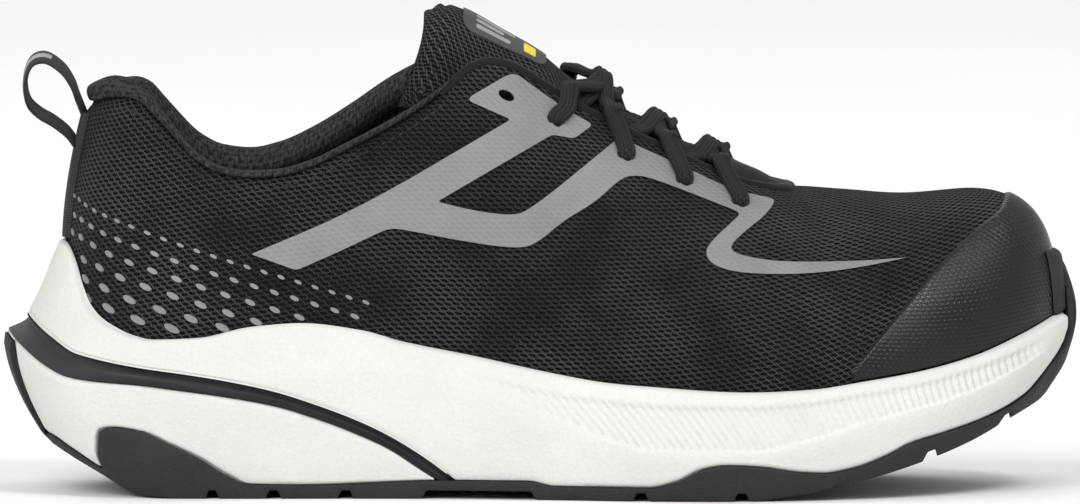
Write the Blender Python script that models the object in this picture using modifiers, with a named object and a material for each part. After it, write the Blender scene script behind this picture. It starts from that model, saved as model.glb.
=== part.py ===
"""A low safety trainer for the right foot, as the separate pieces that a maker puts together.

Sizes are in millimetres here and become metres where a mesh is made. +X points to the toe, -Y to the outer
(lateral) side and +Z up. The origin lies on the floor, under the middle of the shoe.

Every piece is worked out at stations along the foot, from the tip of the heel to the tip of the toe.
"""

import functools
import math

import bmesh
import bpy
import numpy as np
from mathutils import Vector

MM = 0.001
LATERAL = -1
MEDIAL = 1
UP = np.array([0.0, 0.0, 1.0])

# Driving sizes
HEEL_END = -148.8
TOE_END = 148.5
HEEL_ROUND = 46.0
TOE_ROUND = 72.0
HEEL_POWER = 2.15
TOE_POWER = 2.2
END_SLIDE = 70.0
TOE_SWING = 5.0
SWING_START = 20.0
GAP = 0.35
CUP_GAP = 0.6
WALL = 2.2
LUG_DEPTH = 2.4
RUBBER_SHEET = 1.0
RUBBER_WALL = 1.6
BUMPER_PROUD = 1.2
PLATE_GROOVE = 2.0
CORE_INSET = 9.0
CORE_FLOOR = 2.4
INSOLE_THICKNESS = 4.0
UPPER_HEEL = -127.5
UPPER_TOE = 144.3
UPPER_INSET = 6.9
CAP_THICKNESS = 0.8
FILM_THICKNESS = 0.5
RIDGE_SHIFT = 3.0
BACKSTAY_THICKNESS = 1.0
BACKSTAY_LIFT = 0.8
BACKSTAY_TOP = 0.93
BACKSTAY_ROWS = 5
COLLAR_FRONT = -25.0
COLLAR_SEAM_GAP = 0.4
COLLAR_PROUD = 0.9
BINDING_RADIUS = 1.4
BINDING_INSET = 0.9
BINDING_LIFT = 0.2
GUARD_LIFT = 0.6
EYELET_RADIUS = 2.3
EYELET_PIN = 14.0
EYESTAY_MEDIAL_LIFT = 1.6
HALF_SPAN = 75.0
LABEL_HALF = 0.42
LABEL_THICKNESS = 0.7
LABEL_PLACES = (-22.0, -14.0, -6.0, 1.0)
LOOP_WIDTH = 13.0
LOOP_THICKNESS = 1.2
LACE_WIDTH = 4.8
LACE_THICKNESS = 1.8
LACE_OFF = 3.0
LACE_LIFT = 2.8
LACE_CLEAR = 1.2
LACE_SPREAD = 4.7
LACE_SHOULDER = 2.8
LACE_LEAN = 0.12
WALL_SHARES = np.linspace(0, 1, 81)


def table(columns, rows):
    """A table by station: the first column is the place along the foot."""
    names = columns.split()
    return {name: np.array([row[i] for row in rows], float) for i, name in enumerate(names)}


# Half-widths of the sole at its widest line, as if heel and toe were square
PLAN = table("station lateral medial", [
    (-148.8, 42.0, 40.0),
    (-115.0, 43.0, 40.5),
    (-85.0, 43.0, 40.0),
    (-55.0, 42.5, 38.0),
    (-30.0, 43.0, 36.5),
    (-10.0, 45.5, 38.5),
    (10.0, 49.0, 43.5),
    (30.0, 52.8, 49.5),
    (50.0, 54.6, 53.2),
    (68.0, 54.2, 53.6),
    (90.0, 51.5, 52.6),
    (110.0, 49.0, 51.5),
    (130.0, 46.5, 50.0),
    (148.5, 45.0, 48.0),
])

# Lines round the side of the sole: their heel and toe tips, and how far they lie inside the widest line
SIDE_LINES = {
    "bevel": (-139.0, 146.4, 1.8),
    "ridge": (-148.8, 148.5, 0.0),
    "band": (-143.4, 148.8, 1.4),
    "rim": (-134.0, 148.8, 3.0),
}
GROUND_LINE = (-118.0, 141.0, 5.0)

SIDE_HEIGHTS = table("station bevel ridge band rim", [
    (-148.8, 17.0, 44.6, 49.2, 70.0),
    (-148.0, 16.7, 44.0, 48.6, 67.0),
    (-146.5, 16.2, 42.8, 47.6, 61.0),
    (-144.0, 15.6, 41.0, 46.2, 53.5),
    (-138.0, 14.5, 36.6, 43.2, 48.6),
    (-128.0, 13.0, 33.0, 40.0, 45.8),
    (-112.0, 12.2, 31.2, 38.2, 44.4),
    (-96.0, 12.0, 30.4, 38.0, 44.9),
    (-80.0, 12.0, 31.0, 39.5, 48.0),
    (-66.0, 12.0, 32.8, 41.0, 49.0),
    (-50.0, 12.2, 35.6, 41.2, 47.1),
    (-38.0, 12.4, 35.8, 39.6, 43.9),
    (-17.0, 12.4, 30.8, 34.2, 39.7),
    (4.0, 11.0, 23.2, 29.5, 35.3),
    (18.0, 9.0, 17.6, 27.8, 33.0),
    (30.0, 7.6, 14.5, 26.8, 32.0),
    (59.0, 7.2, 14.0, 26.1, 30.4),
    (75.0, 9.4, 17.0, 27.3, 31.0),
    (90.0, 13.2, 21.6, 29.4, 33.0),
    (106.0, 17.4, 25.4, 31.9, 35.5),
    (122.0, 22.8, 30.2, 35.9, 39.3),
    (137.0, 30.0, 37.4, 41.4, 44.8),
    (145.0, 34.6, 42.6, 45.6, 48.2),
    (148.5, 37.0, 45.0, 47.6, 49.6),
])

# The tread's own line, and the footbed inside the cup
TREAD = table("station ground footbed", [
    (-148.8, 2.6, 38.0),
    (-130.0, 1.4, 37.6),
    (-112.0, 0.4, 37.2),
    (-98.0, 0.0, 37.0),
    (-50.0, 0.0, 35.4),
    (0.0, 0.0, 28.6),
    (50.0, 0.0, 23.2),
    (58.0, 0.0, 23.0),
    (66.0, 0.9, 23.1),
    (78.0, 2.8, 23.9),
    (90.0, 5.4, 25.6),
    (101.0, 8.3, 27.6),
    (112.0, 11.6, 29.9),
    (124.0, 15.8, 32.9),
    (137.0, 21.4, 36.6),
    (148.5, 25.8, 39.6),
])

# Top edge of the black rubber on the side of the sole
RUBBER_EDGE = table("station height", [
    (-148.8, 17.0),
    (-144.0, 16.0),
    (-138.0, 12.5),
    (-131.2, 8.8),
    (-130.2, 19.0),
    (-124.0, 20.0),
    (-113.0, 18.6),
    (-104.0, 15.4),
    (-95.0, 11.2),
    (-88.0, 7.0),
    (-81.0, 4.1),
    (-66.0, 3.8),
    (-24.0, 5.2),
    (-4.0, 5.2),
    (4.0, 3.8),
    (30.0, 3.8),
    (38.0, 5.6),
    (46.0, 9.4),
    (52.0, 10.3),
    (61.0, 9.8),
    (72.0, 8.2),
    (79.0, 7.8),
    (88.0, 9.2),
    (97.0, 12.4),
    (104.0, 15.8),
    (113.0, 18.2),
    (126.0, 22.0),
    (138.0, 27.6),
    (142.5, 32.4),
    (144.0, 37.0),
    (144.7, 43.0),
    (145.2, 50.0),
    (145.6, 57.0),
    (146.0, 62.0),
    (146.6, 65.4),
    (148.5, 66.5),
])
SIDE_PANEL = -130.2
REAR_STRIP_END = -146.9
REAR_STRIP_DROP = 1.4
TOE_BUMPER_START = 144.0
TOE_BUMPER_TOP = 66.5

# The black plate in the heel, between the two foams
PLATE = table("station bottom top", [
    (-148.8, 45.0, 49.0),
    (-144.0, 40.8, 46.0),
    (-138.0, 36.6, 42.6),
    (-132.0, 34.0, 39.9),
    (-124.0, 32.4, 37.0),
    (-112.0, 31.4, 34.9),
    (-99.0, 29.9, 32.8),
    (-87.0, 28.5, 31.5),
    (-74.0, 26.2, 29.4),
    (-61.0, 22.8, 26.4),
    (-50.0, 19.2, 23.1),
    (-42.0, 14.9, 18.5),
    (-33.0, 9.0, 13.0),
    (-27.5, 5.6, 8.6),
    (-23.0, 2.0, 4.6),
])
WEDGE_FRONT = -33.0
PLATE_FRONT = -27.5

# Cross grooves of the tread, the bare arch, and two grooves along the foot
GROOVE_PLACES = (-92.0, -74.0, -54.0, 28.0, 56.0, 84.0, 110.0)
GROOVE_HALF = 2.4
RUBBER_STEPS = (
    (REAR_STRIP_END, 0.0),
    (REAR_STRIP_END, 0.2),
    (REAR_STRIP_END, 0.4),
    (SIDE_PANEL, -2.0),
    (SIDE_PANEL, -1.0),
    (SIDE_PANEL, 0.0),
    (TOE_BUMPER_START, 0.0),
    (TOE_BUMPER_START, 0.7),
    (TOE_BUMPER_START, 1.2),
    (TOE_BUMPER_START, 1.6),
    (TOE_BUMPER_START, 2.2),
)
ARCH = (-33.0, -1.0)
LONG_GROOVES = (0.335, 0.665)
LONG_GROOVE_HALF = 0.035

# Sections of the upper: where each one ends at the top, and how its wall leaves the foot and meets the top
SECTIONS = table("station x_top rise flare reach tilt", [
    (-148.8, -125.6, 23.5, 8.6, 19.0, 75.0),
    (-140.0, -121.4, 23.4, 8.2, 19.0, 76.0),
    (-125.0, -113.4, 22.6, 7.4, 18.5, 78.0),
    (-108.0, -102.6, 21.0, 6.4, 17.0, 80.0),
    (-90.0, -89.0, 19.5, 5.8, 16.0, 81.0),
    (-70.0, -71.6, 19.5, 5.6, 16.0, 80.0),
    (-50.0, -53.4, 20.5, 5.4, 18.0, 77.0),
    (-30.0, -35.4, 23.0, 5.0, 22.0, 70.0),
    (-12.0, -19.4, 26.0, 4.6, 25.0, 62.0),
    (5.0, -4.6, 27.5, 4.2, 26.0, 52.0),
    (25.0, 13.6, 26.5, 4.2, 24.5, 43.0),
    (45.0, 32.2, 25.5, 4.2, 23.0, 36.0),
    (65.0, 50.4, 24.5, 4.2, 22.0, 29.0),
    (85.0, 66.4, 23.5, 4.2, 22.0, 18.0),
    (105.0, 81.0, 24.5, 4.0, 25.0, 7.0),
    (125.0, 96.6, 27.0, 3.0, 27.0, 2.0),
    (140.0, 109.6, 30.0, 1.6, 25.0, 0.0),
    (148.5, 117.6, 31.5, 0.8, 22.0, 0.0),
])

# The upper's top edge: the collar seam, the throat and then the closed ridge over the toes
TOPLINE = table("place lateral medial z_lateral z_medial", [
    (-125.6, 22.0, 21.4, 108.4, 108.4),
    (-120.0, 23.5, 22.8, 110.2, 110.2),
    (-115.0, 25.8, 25.0, 110.6, 110.6),
    (-110.5, 27.6, 26.8, 108.9, 109.1),
    (-105.5, 29.2, 28.4, 104.0, 104.6),
    (-101.0, 30.6, 29.8, 99.2, 100.2),
    (-95.5, 32.6, 31.6, 93.6, 95.2),
    (-89.0, 34.4, 33.2, 90.2, 92.2),
    (-81.0, 35.8, 34.4, 89.0, 91.2),
    (-73.0, 36.2, 34.8, 89.4, 91.8),
    (-64.0, 36.0, 34.6, 91.8, 94.4),
    (-53.5, 34.8, 33.6, 96.8, 99.6),
    (-41.0, 32.6, 31.6, 103.3, 106.2),
    (-31.0, 30.0, 29.2, 109.6, 112.4),
    (-24.5, 28.2, 27.4, 114.8, 117.4),
    (-19.0, 26.8, 26.0, 119.4, 121.8),
    (-14.0, 25.4, 24.8, 120.8, 123.2),
    (-7.0, 23.8, 23.2, 119.2, 121.6),
    (0.0, 22.4, 21.8, 115.0, 117.6),
    (8.0, 21.2, 20.6, 109.8, 112.6),
    (17.0, 20.2, 19.6, 105.0, 107.8),
    (28.0, 19.0, 18.4, 99.6, 101.4),
    (40.0, 17.6, 17.0, 93.8, 95.2),
    (52.0, 15.8, 15.2, 88.6, 89.8),
    (60.0, 13.6, 13.2, 85.8, 86.6),
    (66.0, 9.6, 9.4, 84.4, 84.8),
    (69.0, 5.2, 5.2, 84.2, 84.4),
    (70.0, 0.0, 0.0, 84.4, 84.4),
    (84.0, 0.0, 0.0, 83.5, 83.5),
    (101.0, 0.0, 0.0, 82.3, 82.3),
    (117.6, 0.0, 0.0, 83.5, 83.5),
])
THROAT_END = 70.0
THROAT_ROUND = (60.0, 66.0, 69.0, 70.0)


def curve(xs, ys, x):
    """A smooth line through the points that never overshoots them."""
    steps = np.diff(xs)
    grades = np.diff(ys) / steps
    slopes = np.concatenate([[grades[0]], np.zeros(len(xs) - 2), [grades[-1]]])
    same_way = grades[:-1] * grades[1:] > 0
    both = np.where(same_way, grades[:-1] + grades[1:], 1.0)
    slopes[1:-1] = np.where(same_way, 2 * grades[:-1] * grades[1:] / both, 0.0)
    x = np.clip(x, xs[0], xs[-1])
    i = np.clip(np.searchsorted(xs, x, side="right") - 1, 0, len(xs) - 2)
    t = (x - xs[i]) / steps[i]
    return (
        ys[i] * (1 + 2 * t) * (1 - t) ** 2
        + steps[i] * slopes[i] * t * (1 - t) ** 2
        + ys[i + 1] * t**2 * (3 - 2 * t)
        + steps[i] * slopes[i + 1] * t**2 * (t - 1)
    )


def read(source, column, x):
    """A column's value at a place along the foot."""
    places = next(iter(source))
    return curve(source[places], source[column], x)


def end_round(station):
    """1 along the foot, falling to 0 at the two tips as a round end does."""
    heel = np.clip((HEEL_END + HEEL_ROUND - station) / HEEL_ROUND, 0, 1)
    toe = np.clip((station - TOE_END + TOE_ROUND) / TOE_ROUND, 0, 1)
    return (1 - heel**HEEL_POWER) ** (1 / HEEL_POWER) * (1 - toe**TOE_POWER) ** (1 / TOE_POWER)


def centre(station):
    """The middle of the shoe, which swings inwards to the big toe."""
    t = np.clip((station - SWING_START) / (TOE_END - SWING_START), 0, 1)
    return TOE_SWING * t * t * (3 - 2 * t)


def plan_point(station, side, heel_tip, toe_tip, inset):
    """A point of an outline that is like the sole's, with its own tips and inset."""
    heel = np.clip((HEEL_END + END_SLIDE - station) / END_SLIDE, 0, 1) ** 2
    toe = np.clip((station - TOE_END + END_SLIDE) / END_SLIDE, 0, 1) ** 2
    x = station + (heel_tip - HEEL_END) * heel + (toe_tip - TOE_END) * toe
    width = read(PLAN, "lateral" if side == LATERAL else "medial", station) - inset
    return x, centre(station) + side * width * end_round(station)


@functools.lru_cache(None)
def outward(station, side):
    """The level direction that points away from the foot."""
    room = min(station - HEEL_END, TOE_END - station)
    if room < 1e-6:
        return np.array([-1.0 if station < 0 else 1.0, 0.0, 0.0])
    step = min(0.5, room / 2)
    x0, y0 = plan_point(station - step, side, *SIDE_LINES["ridge"])
    x1, y1 = plan_point(station + step, side, *SIDE_LINES["ridge"])
    normal = np.array([-(y1 - y0), x1 - x0, 0.0]) * side
    return normal / np.linalg.norm(normal)


def ground(station):
    return read(TREAD, "ground", station)


def tread_root(station):
    """The sheet that the lugs stand on."""
    return ground(station) + LUG_DEPTH


def tray_floor(station):
    """Top of the rubber sheet, under the foam."""
    return tread_root(station) + RUBBER_SHEET


def footbed(station):
    return read(TREAD, "footbed", station)


def rim(station):
    return read(SIDE_HEIGHTS, "rim", station)


def ridge_y(station):
    """The middle of the upper's top edge, which lies more to the inner side towards the toe."""
    return (centre(station) + RIDGE_SHIFT) * (station - HEEL_END) / (TOE_END - HEEL_END)


def top_middle(place):
    """The middle of the top edge, by where it is rather than by station."""
    return ridge_y(float(np.interp(place, SECTIONS["x_top"], SECTIONS["station"])))


@functools.lru_cache(None)
def upper_handles(station, side):
    """The four handles of the curve that the upper's wall follows, from the footbed to the top edge."""
    name = "lateral" if side == LATERAL else "medial"
    x, y = plan_point(station, side, UPPER_HEEL, UPPER_TOE, UPPER_INSET)
    foot = np.array([x, y, footbed(station) + GAP])
    x_top = read(SECTIONS, "x_top", station)
    reach_out = side * read(TOPLINE, name, x_top)
    if station < 0:
        reach_out *= end_round(station)
    top = np.array([x_top, ridge_y(station) + reach_out, read(TOPLINE, "z_" + name, x_top)])
    out = outward(station, side)
    tilt = math.radians(read(SECTIONS, "tilt", station))
    slope = read(TOPLINE, "z_" + name, x_top + 1) - read(TOPLINE, "z_" + name, x_top - 1)
    climb = math.sin(tilt) - out[0] * math.cos(tilt) * slope / 2 * (x_top > THROAT_END)
    way = -out * math.cos(tilt) + UP * climb
    leave = foot + UP * read(SECTIONS, "rise", station) + out * read(SECTIONS, "flare", station)
    return foot, leave, top - way * read(SECTIONS, "reach", station), top


def upper_point(station, side, share):
    """A point of the upper's outer face: share 0 is its lasted edge and 1 its top edge."""
    a, b, c, d = upper_handles(station, side)
    rest = 1 - share
    return a * rest**3 + 3 * b * rest**2 * share + 3 * c * rest * share**2 + d * share**3


@functools.lru_cache(None)
def upper_heights(station, side):
    """Heights up the upper's wall, for upper_share_at."""
    return np.maximum.accumulate([upper_point(station, side, share)[2] for share in WALL_SHARES])


def upper_share_at(station, side, z):
    """How far up its wall the upper reaches a height."""
    return float(np.interp(z, upper_heights(station, side), WALL_SHARES))


def upper_at(station, side, z, out=0.0):
    """The upper's outer face at a height, moved outwards."""
    point = upper_point(station, side, upper_share_at(station, side, z))
    return point + outward(station, side) * out


def rubber_edge(station):
    """Top edge of the rubber, with the strip up the heel and the bumper over the toe."""
    if station <= REAR_STRIP_END:
        return read(PLATE, "bottom", station) - REAR_STRIP_DROP
    return max(read(RUBBER_EDGE, "height", station), tray_floor(station) + 0.4)


def proud(station):
    """How far the rubber stands out from the foam: on the rear strip and the toe bumper."""
    if station <= REAR_STRIP_END:
        return BUMPER_PROUD
    t = np.clip((station - TOE_BUMPER_START) / 2.0, 0, 1)
    return BUMPER_PROUD * t * t * (3 - 2 * t)


@functools.lru_cache(None)
def side_knots(station, side):
    """The heights and plan points that the side of the sole passes through."""
    heights = [ground(station)]
    places = [plan_point(station, side, *GROUND_LINE)]
    for name, line in SIDE_LINES.items():
        heights.append(float(read(SIDE_HEIGHTS, name, station)))
        places.append(plan_point(station, side, *line))
    if station > 0:
        clear = CAP_THICKNESS + RUBBER_WALL + 2 * GAP - BUMPER_PROUD
        over = upper_at(station, side, TOE_BUMPER_TOP, clear)
        heights.append(max(TOE_BUMPER_TOP, heights[-1] + 1.0))
        places.append((over[0], over[1]))
    return np.array(heights), np.array(places)


def side_at(station, side, z, out=0.0):
    """A point on the side of the sole at a height, moved outwards."""
    heights, places = side_knots(station, side)
    x = curve(heights, places[:, 0], z)
    y = curve(heights, places[:, 1], z)
    return np.array([x, y, z]) + outward(station, side) * out


def round_stations(count, end, size, power):
    """Stations that follow a round end at even angles."""
    angles = np.linspace(0, math.pi / 2, count + 1)
    depth = size * (1 - np.cos(angles) ** (2 / power))
    return end + depth if end < 0 else end - depth


def stations(heel_count, middle, toe_count, extra=(), keep=3.0):
    """Stations from heel to toe. Those in extra displace their near neighbours."""
    heel = round_stations(heel_count, HEEL_END, HEEL_ROUND, HEEL_POWER)
    toe = round_stations(toe_count, TOE_END, TOE_ROUND, TOE_POWER)
    between = np.linspace(heel[-1], toe[-1], middle + 2)
    plain = np.unique(np.round(np.concatenate([heel, between, toe]), 4))
    far = [s for s in plain if all(abs(s - e) > keep for e in extra)]
    return sorted(far + list(extra))


def loop(lateral, medial, tips=2):
    """One closed ring: the heel tip, along the outer side, the toe tip (if there is one) and back."""
    back = medial[1:-1] if tips == 2 else medial[1:]
    return [*lateral, *back[::-1]]


def add_object(name, mesh, colour, roughness):
    """A named object with its own material."""
    material = bpy.data.materials.new(name)
    material.use_nodes = True
    shader = material.node_tree.nodes["Principled BSDF"]
    shader.inputs["Base Color"].default_value = (*colour, 1.0)
    shader.inputs["Roughness"].default_value = roughness
    mesh.materials.append(material)
    mesh.shade_smooth()
    mesh.set_sharp_from_angle(angle=math.radians(40))
    made = bpy.data.objects.new(name, mesh)
    bpy.data.collections["safety_shoe"].objects.link(made)
    made.parent = bpy.data.objects["shoe_origin"]
    return made


def mesh_of(points, faces, merge=0.0):
    """A mesh in metres from points in millimetres, with its faces turned outwards."""
    shape = bmesh.new()
    corners = [shape.verts.new(np.asarray(p) * MM) for p in points]
    for face in faces:
        shape.faces.new([corners[i] for i in face])
    if merge:
        bmesh.ops.remove_doubles(shape, verts=shape.verts, dist=merge * MM)
    bmesh.ops.recalc_face_normals(shape, faces=shape.faces)
    mesh = bpy.data.meshes.new("shape")
    shape.to_mesh(mesh)
    shape.free()
    return mesh


def strip_faces(first, count, tips):
    """Triangles across a ring, from its outer to its inner side."""
    last = count // 2 if tips == 2 else (count + 1) // 2 - 1
    faces = [(first, first + 1, first + count - 1)]
    for i in range(1, last):
        near, beyond = first + i, first + i + 1
        far, far_beyond = first + count - i, first + count - i - 1
        faces.append((near, beyond, far))
        if beyond != far_beyond:
            faces.append((beyond, far_beyond, far))
    return faces


def loft(rings, tips=2, turned=()):
    """Points and triangles of a closed solid through rings of as many points each.

    The bands in turned are split along their other diagonal, to match a neighbour that runs the other way.
    """
    count = len(rings[0])
    points = [p for ring in rings for p in ring]
    faces = strip_faces(0, count, tips) + strip_faces(count * (len(rings) - 1), count, tips)
    for i in range(len(rings) - 1):
        for j in range(count):
            a, b = i * count + j, i * count + (j + 1) % count
            c, d = b + count, a + count
            faces += [(a, b, d), (b, c, d)] if i in turned else [(a, b, c), (a, c, d)]
    return points, faces


def sweep(sections):
    """Points and faces of a closed solid through sections of as many points each, with flat ends."""
    count = len(sections[0])
    points = [p for section in sections for p in section]
    faces = [tuple(range(count)), tuple(range(count * (len(sections) - 1), count * len(sections)))]
    for i in range(len(sections) - 1):
        for j in range(count):
            a, b = i * count + j, i * count + (j + 1) % count
            faces.append((a, b, b + count, a + count))
    return points, faces


def both_sides(places, maker, tips=2):
    """A ring made by one function of station and side."""
    return loop([maker(s, LATERAL) for s in places], [maker(s, MEDIAL) for s in places], tips)


# Sole
def lug_share(station, across):
    """1 on a lug and 0 in a groove or under the arch."""
    if ARCH[0] < station < ARCH[1]:
        return 0.0
    in_cross = any(abs(station - place) < 0.01 for place in GROOVE_PLACES)
    in_long = any(abs(across - place) < 0.001 for place in LONG_GROOVES)
    return 0.0 if in_cross or in_long else 1.0


def tread_height(station, across):
    return tread_root(station) - LUG_DEPTH * lug_share(station, across)


def sole_stations():
    """The stations that all the pieces of the sole share, so that they nest."""
    grooves = [place + step for place in GROOVE_PLACES for step in (-GROOVE_HALF, 0, GROOVE_HALF)]
    arch = [ARCH[0], ARCH[0] + 1.5, ARCH[1] - 1.5, ARCH[1]]
    tread = stations(7, 8, 7, sorted(grooves + arch + [PLATE_FRONT]), keep=4.0)
    steps = [place + step for place, step in RUBBER_STEPS]
    return sorted([s for s in tread if all(abs(s - e) > 0.6 for e in steps)] + steps)


@functools.lru_cache(None)
def foam_edge(station):
    """Top of the foam's recess for the rubber. It starts one station early where the rubber jumps."""
    places = sole_stations()
    i = places.index(station)
    near = [rubber_edge(s) for s in places[max(i - 1, 0):i + 2]]
    own = rubber_edge(station)
    return (max(near) if max(near) > own + 5 else own) + GAP


def tread_grid(places):
    """The underside: a grid from the outer to the inner edge at each station, without the two tips."""
    shares = [0.0, 1.0]
    for place in LONG_GROOVES:
        shares += [place - LONG_GROOVE_HALF, place, place + LONG_GROOVE_HALF]
    rows = []
    for s in places[1:-1]:
        a = side_at(s, LATERAL, tread_height(s, 0.0))
        b = side_at(s, MEDIAL, tread_height(s, 0.0))
        rows.append([[*(a + (b - a) * share)[:2], tread_height(s, share)] for share in sorted(shares)])
    return rows


def make_outsole():
    places = sole_stations()
    wall_rows = (0.0, 0.3, 0.55, 1.0)

    def outer(share):
        def at(s, side):
            low = tread_height(s, 0.0)
            z = low + (rubber_edge(s) - low) * share
            return side_at(s, side, z, proud(s) * min(1.0, 2 * share))
        return at

    def inner(share):
        def at(s, side):
            low = tray_floor(s)
            z = low + (rubber_edge(s) - low) * share
            return side_at(s, side, z, proud(s) * share - RUBBER_WALL)
        return at

    rings = [both_sides(places, outer(share)) for share in wall_rows]
    rings += [both_sides(places, inner(share)) for share in (1.0, 0.5, 0.0)]
    points, faces = loft(rings)
    count = len(rings[0])
    faces = faces[len(strip_faces(0, count, 2)):]
    grid = tread_grid(places)
    first, across = len(points), len(grid[0])
    points += [p for row in grid for p in row]
    for i in range(len(grid) - 1):
        for j in range(across - 1):
            a = first + i * across + j
            faces.append((a, a + 1, a + across + 1, a + across))
    last = first + (len(grid) - 1) * across
    for j in range(across - 1):
        faces.append((0, first + j, first + j + 1))
        faces.append((count // 2, last + j, last + j + 1))
    return add_object("outsole", mesh_of(points, faces, merge=0.001), (0.02, 0.02, 0.022), 0.75)


def plate_top(station):
    """Top of the plate under the foot, which is lower than at its rim behind the heel."""
    return min(read(PLATE, "top", station), footbed(station) - CORE_FLOOR)


def plate_bottom(station):
    return min(read(PLATE, "bottom", station), plate_top(station) - 2.0)


def make_heel_wedge():
    places = [s for s in sole_stations() if s <= WEDGE_FRONT]

    def top(s):
        return read(PLATE, "bottom", s) - GAP

    def edge(s):
        return min(foam_edge(s), top(s) - 0.6)

    rings = [
        both_sides(places, lambda s, side: side_at(s, side, tray_floor(s) + GAP, -(RUBBER_WALL + GAP)), 1),
        both_sides(places, lambda s, side: side_at(s, side, edge(s), -(RUBBER_WALL + GAP)), 1),
    ]
    for share in (0.0, 0.5, 1.0):
        def at(s, side, share=share):
            low = edge(s)
            return side_at(s, side, low + (top(s) - low) * share)
        rings.append(both_sides(places, at, 1))
    rings.append(both_sides(places, core_point(lambda s: plate_bottom(s) - GAP), 1))
    return add_object("heel_wedge", mesh_of(*loft(rings, 1)), (0.87, 0.87, 0.85), 0.8)


def core_point(height):
    """Points of the ring inside which the plate lies flat under the foot."""
    def at(s, side):
        rim_z = float(read(PLATE, "top", s))
        return side_at(s, side, rim_z, -CORE_INSET) * [1, 1, 0] + UP * height(s)
    return at


def make_heel_plate():
    places = [s for s in sole_stations() if s <= PLATE_FRONT]

    def level(share):
        def at(s, side):
            low = max(read(PLATE, "bottom", s), tray_floor(s) + GAP)
            high = read(PLATE, "top", s)
            groove = PLATE_GROOVE * math.sin(math.pi * share) + 0.3
            return side_at(s, side, low + (high - low) * share, -groove - RUBBER_WALL * (s > -40))
        return at

    rings = [both_sides(places, core_point(plate_bottom), 1)]
    rings += [both_sides(places, level(share), 1) for share in (0.0, 0.45, 1.0)]
    rings.append(both_sides(places, core_point(plate_top), 1))
    return add_object("heel_plate", mesh_of(*loft(rings, 1, turned=(0,))), (0.03, 0.032, 0.035), 0.6)


def make_midsole():
    places = sole_stations()

    def low(s):
        return max(tray_floor(s), read(PLATE, "top", s) * (s <= PLATE_FRONT + 3)) + GAP

    def core_low(s):
        return max(tray_floor(s), plate_top(s) * (s <= PLATE_FRONT + 3)) + GAP

    def edge(s):
        return min(max(foam_edge(s), low(s) + 0.5), rim(s) - 0.8)

    def covered(s):
        return -(RUBBER_WALL + GAP) if foam_edge(s) > rim(s) else 0.0

    def foot(s):
        return -(RUBBER_WALL + GAP) if s > PLATE_FRONT - 1 else -0.4

    rings = [
        both_sides(places, core_point(core_low)),
        both_sides(places, lambda s, side: side_at(s, side, low(s), foot(s))),
        both_sides(places, lambda s, side: side_at(s, side, edge(s), foot(s))),
    ]
    for share in (0.0, 0.35, 0.7, 1.0):
        def at(s, side, share=share):
            z = edge(s)
            return side_at(s, side, z + (rim(s) - z) * share, covered(s))
        rings.append(both_sides(places, at))
    for share in (1.0, 0.45, 0.0):
        def cup(s, side, share=share):
            z = footbed(s) + (rim(s) - footbed(s)) * share
            return upper_at(s, side, z, CUP_GAP) * [1, 1, 0] + UP * z
        rings.append(both_sides(places, cup))
    return add_object("midsole", mesh_of(*loft(rings, turned=(0,))), (0.88, 0.88, 0.86), 0.85)


# Upper
def upper_stations():
    throat = [float(np.interp(x, SECTIONS["x_top"], SECTIONS["station"])) for x in THROAT_ROUND]
    return stations(6, 14, 7, throat, keep=2.0)


UPPER_ROWS = np.linspace(0, 1, 9)


def upper_columns(places, shares):
    """The upper's outer face: a column for each station, down the outer side and back along the inner."""
    lateral = [[upper_point(s, LATERAL, v) for v in shares] for s in places]
    medial = [[upper_point(s, MEDIAL, v) for v in shares] for s in places]
    return np.array(lateral + medial[-2:0:-1])


def upper_normals(columns):
    """Directions straight out of the upper's outer face."""
    around = np.roll(columns, -1, axis=0) - np.roll(columns, 1, axis=0)
    up = np.gradient(columns, axis=1)
    normals = np.cross(around, up)
    return normals / np.linalg.norm(normals, axis=2, keepdims=True)


def sheet_faces(count, rows):
    """Faces of a sheet of columns that closes on itself."""
    faces = []
    for i in range(count):
        for j in range(rows - 1):
            a, b = i * rows + j, (i + 1) % count * rows + j
            faces.append((a, b, b + 1, a + 1))
    return faces


def make_upper():
    columns = upper_columns(upper_stations(), UPPER_ROWS)
    faces = sheet_faces(len(columns), len(UPPER_ROWS))
    mesh = mesh_of(columns.reshape(-1, 3), faces, merge=0.02)
    upper = add_object("upper", mesh, (0.02, 0.02, 0.021), 0.9)
    wall = upper.modifiers.new("wall", "SOLIDIFY")
    wall.thickness = WALL * MM
    wall.offset = -1
    return upper


# The insole's edge: share of its thickness, and how far it is drawn in there
INSOLE_EDGE = ((0.0, 0.8), (0.5, 0.5), (1.0, 1.2))


def make_insole():
    places = stations(5, 9, 6)

    def at(share, shrink):
        def point(s, side):
            z = footbed(s) + GAP + INSOLE_THICKNESS * share
            inside = upper_at(s, side, z + 0.5, -(WALL + GAP + shrink))
            return np.array([inside[0], inside[1], z])
        return point

    rings = [both_sides(places, at(*row)) for row in INSOLE_EDGE]
    return add_object("insole", mesh_of(*loft(rings)), (0.05, 0.05, 0.055), 0.9)


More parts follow.
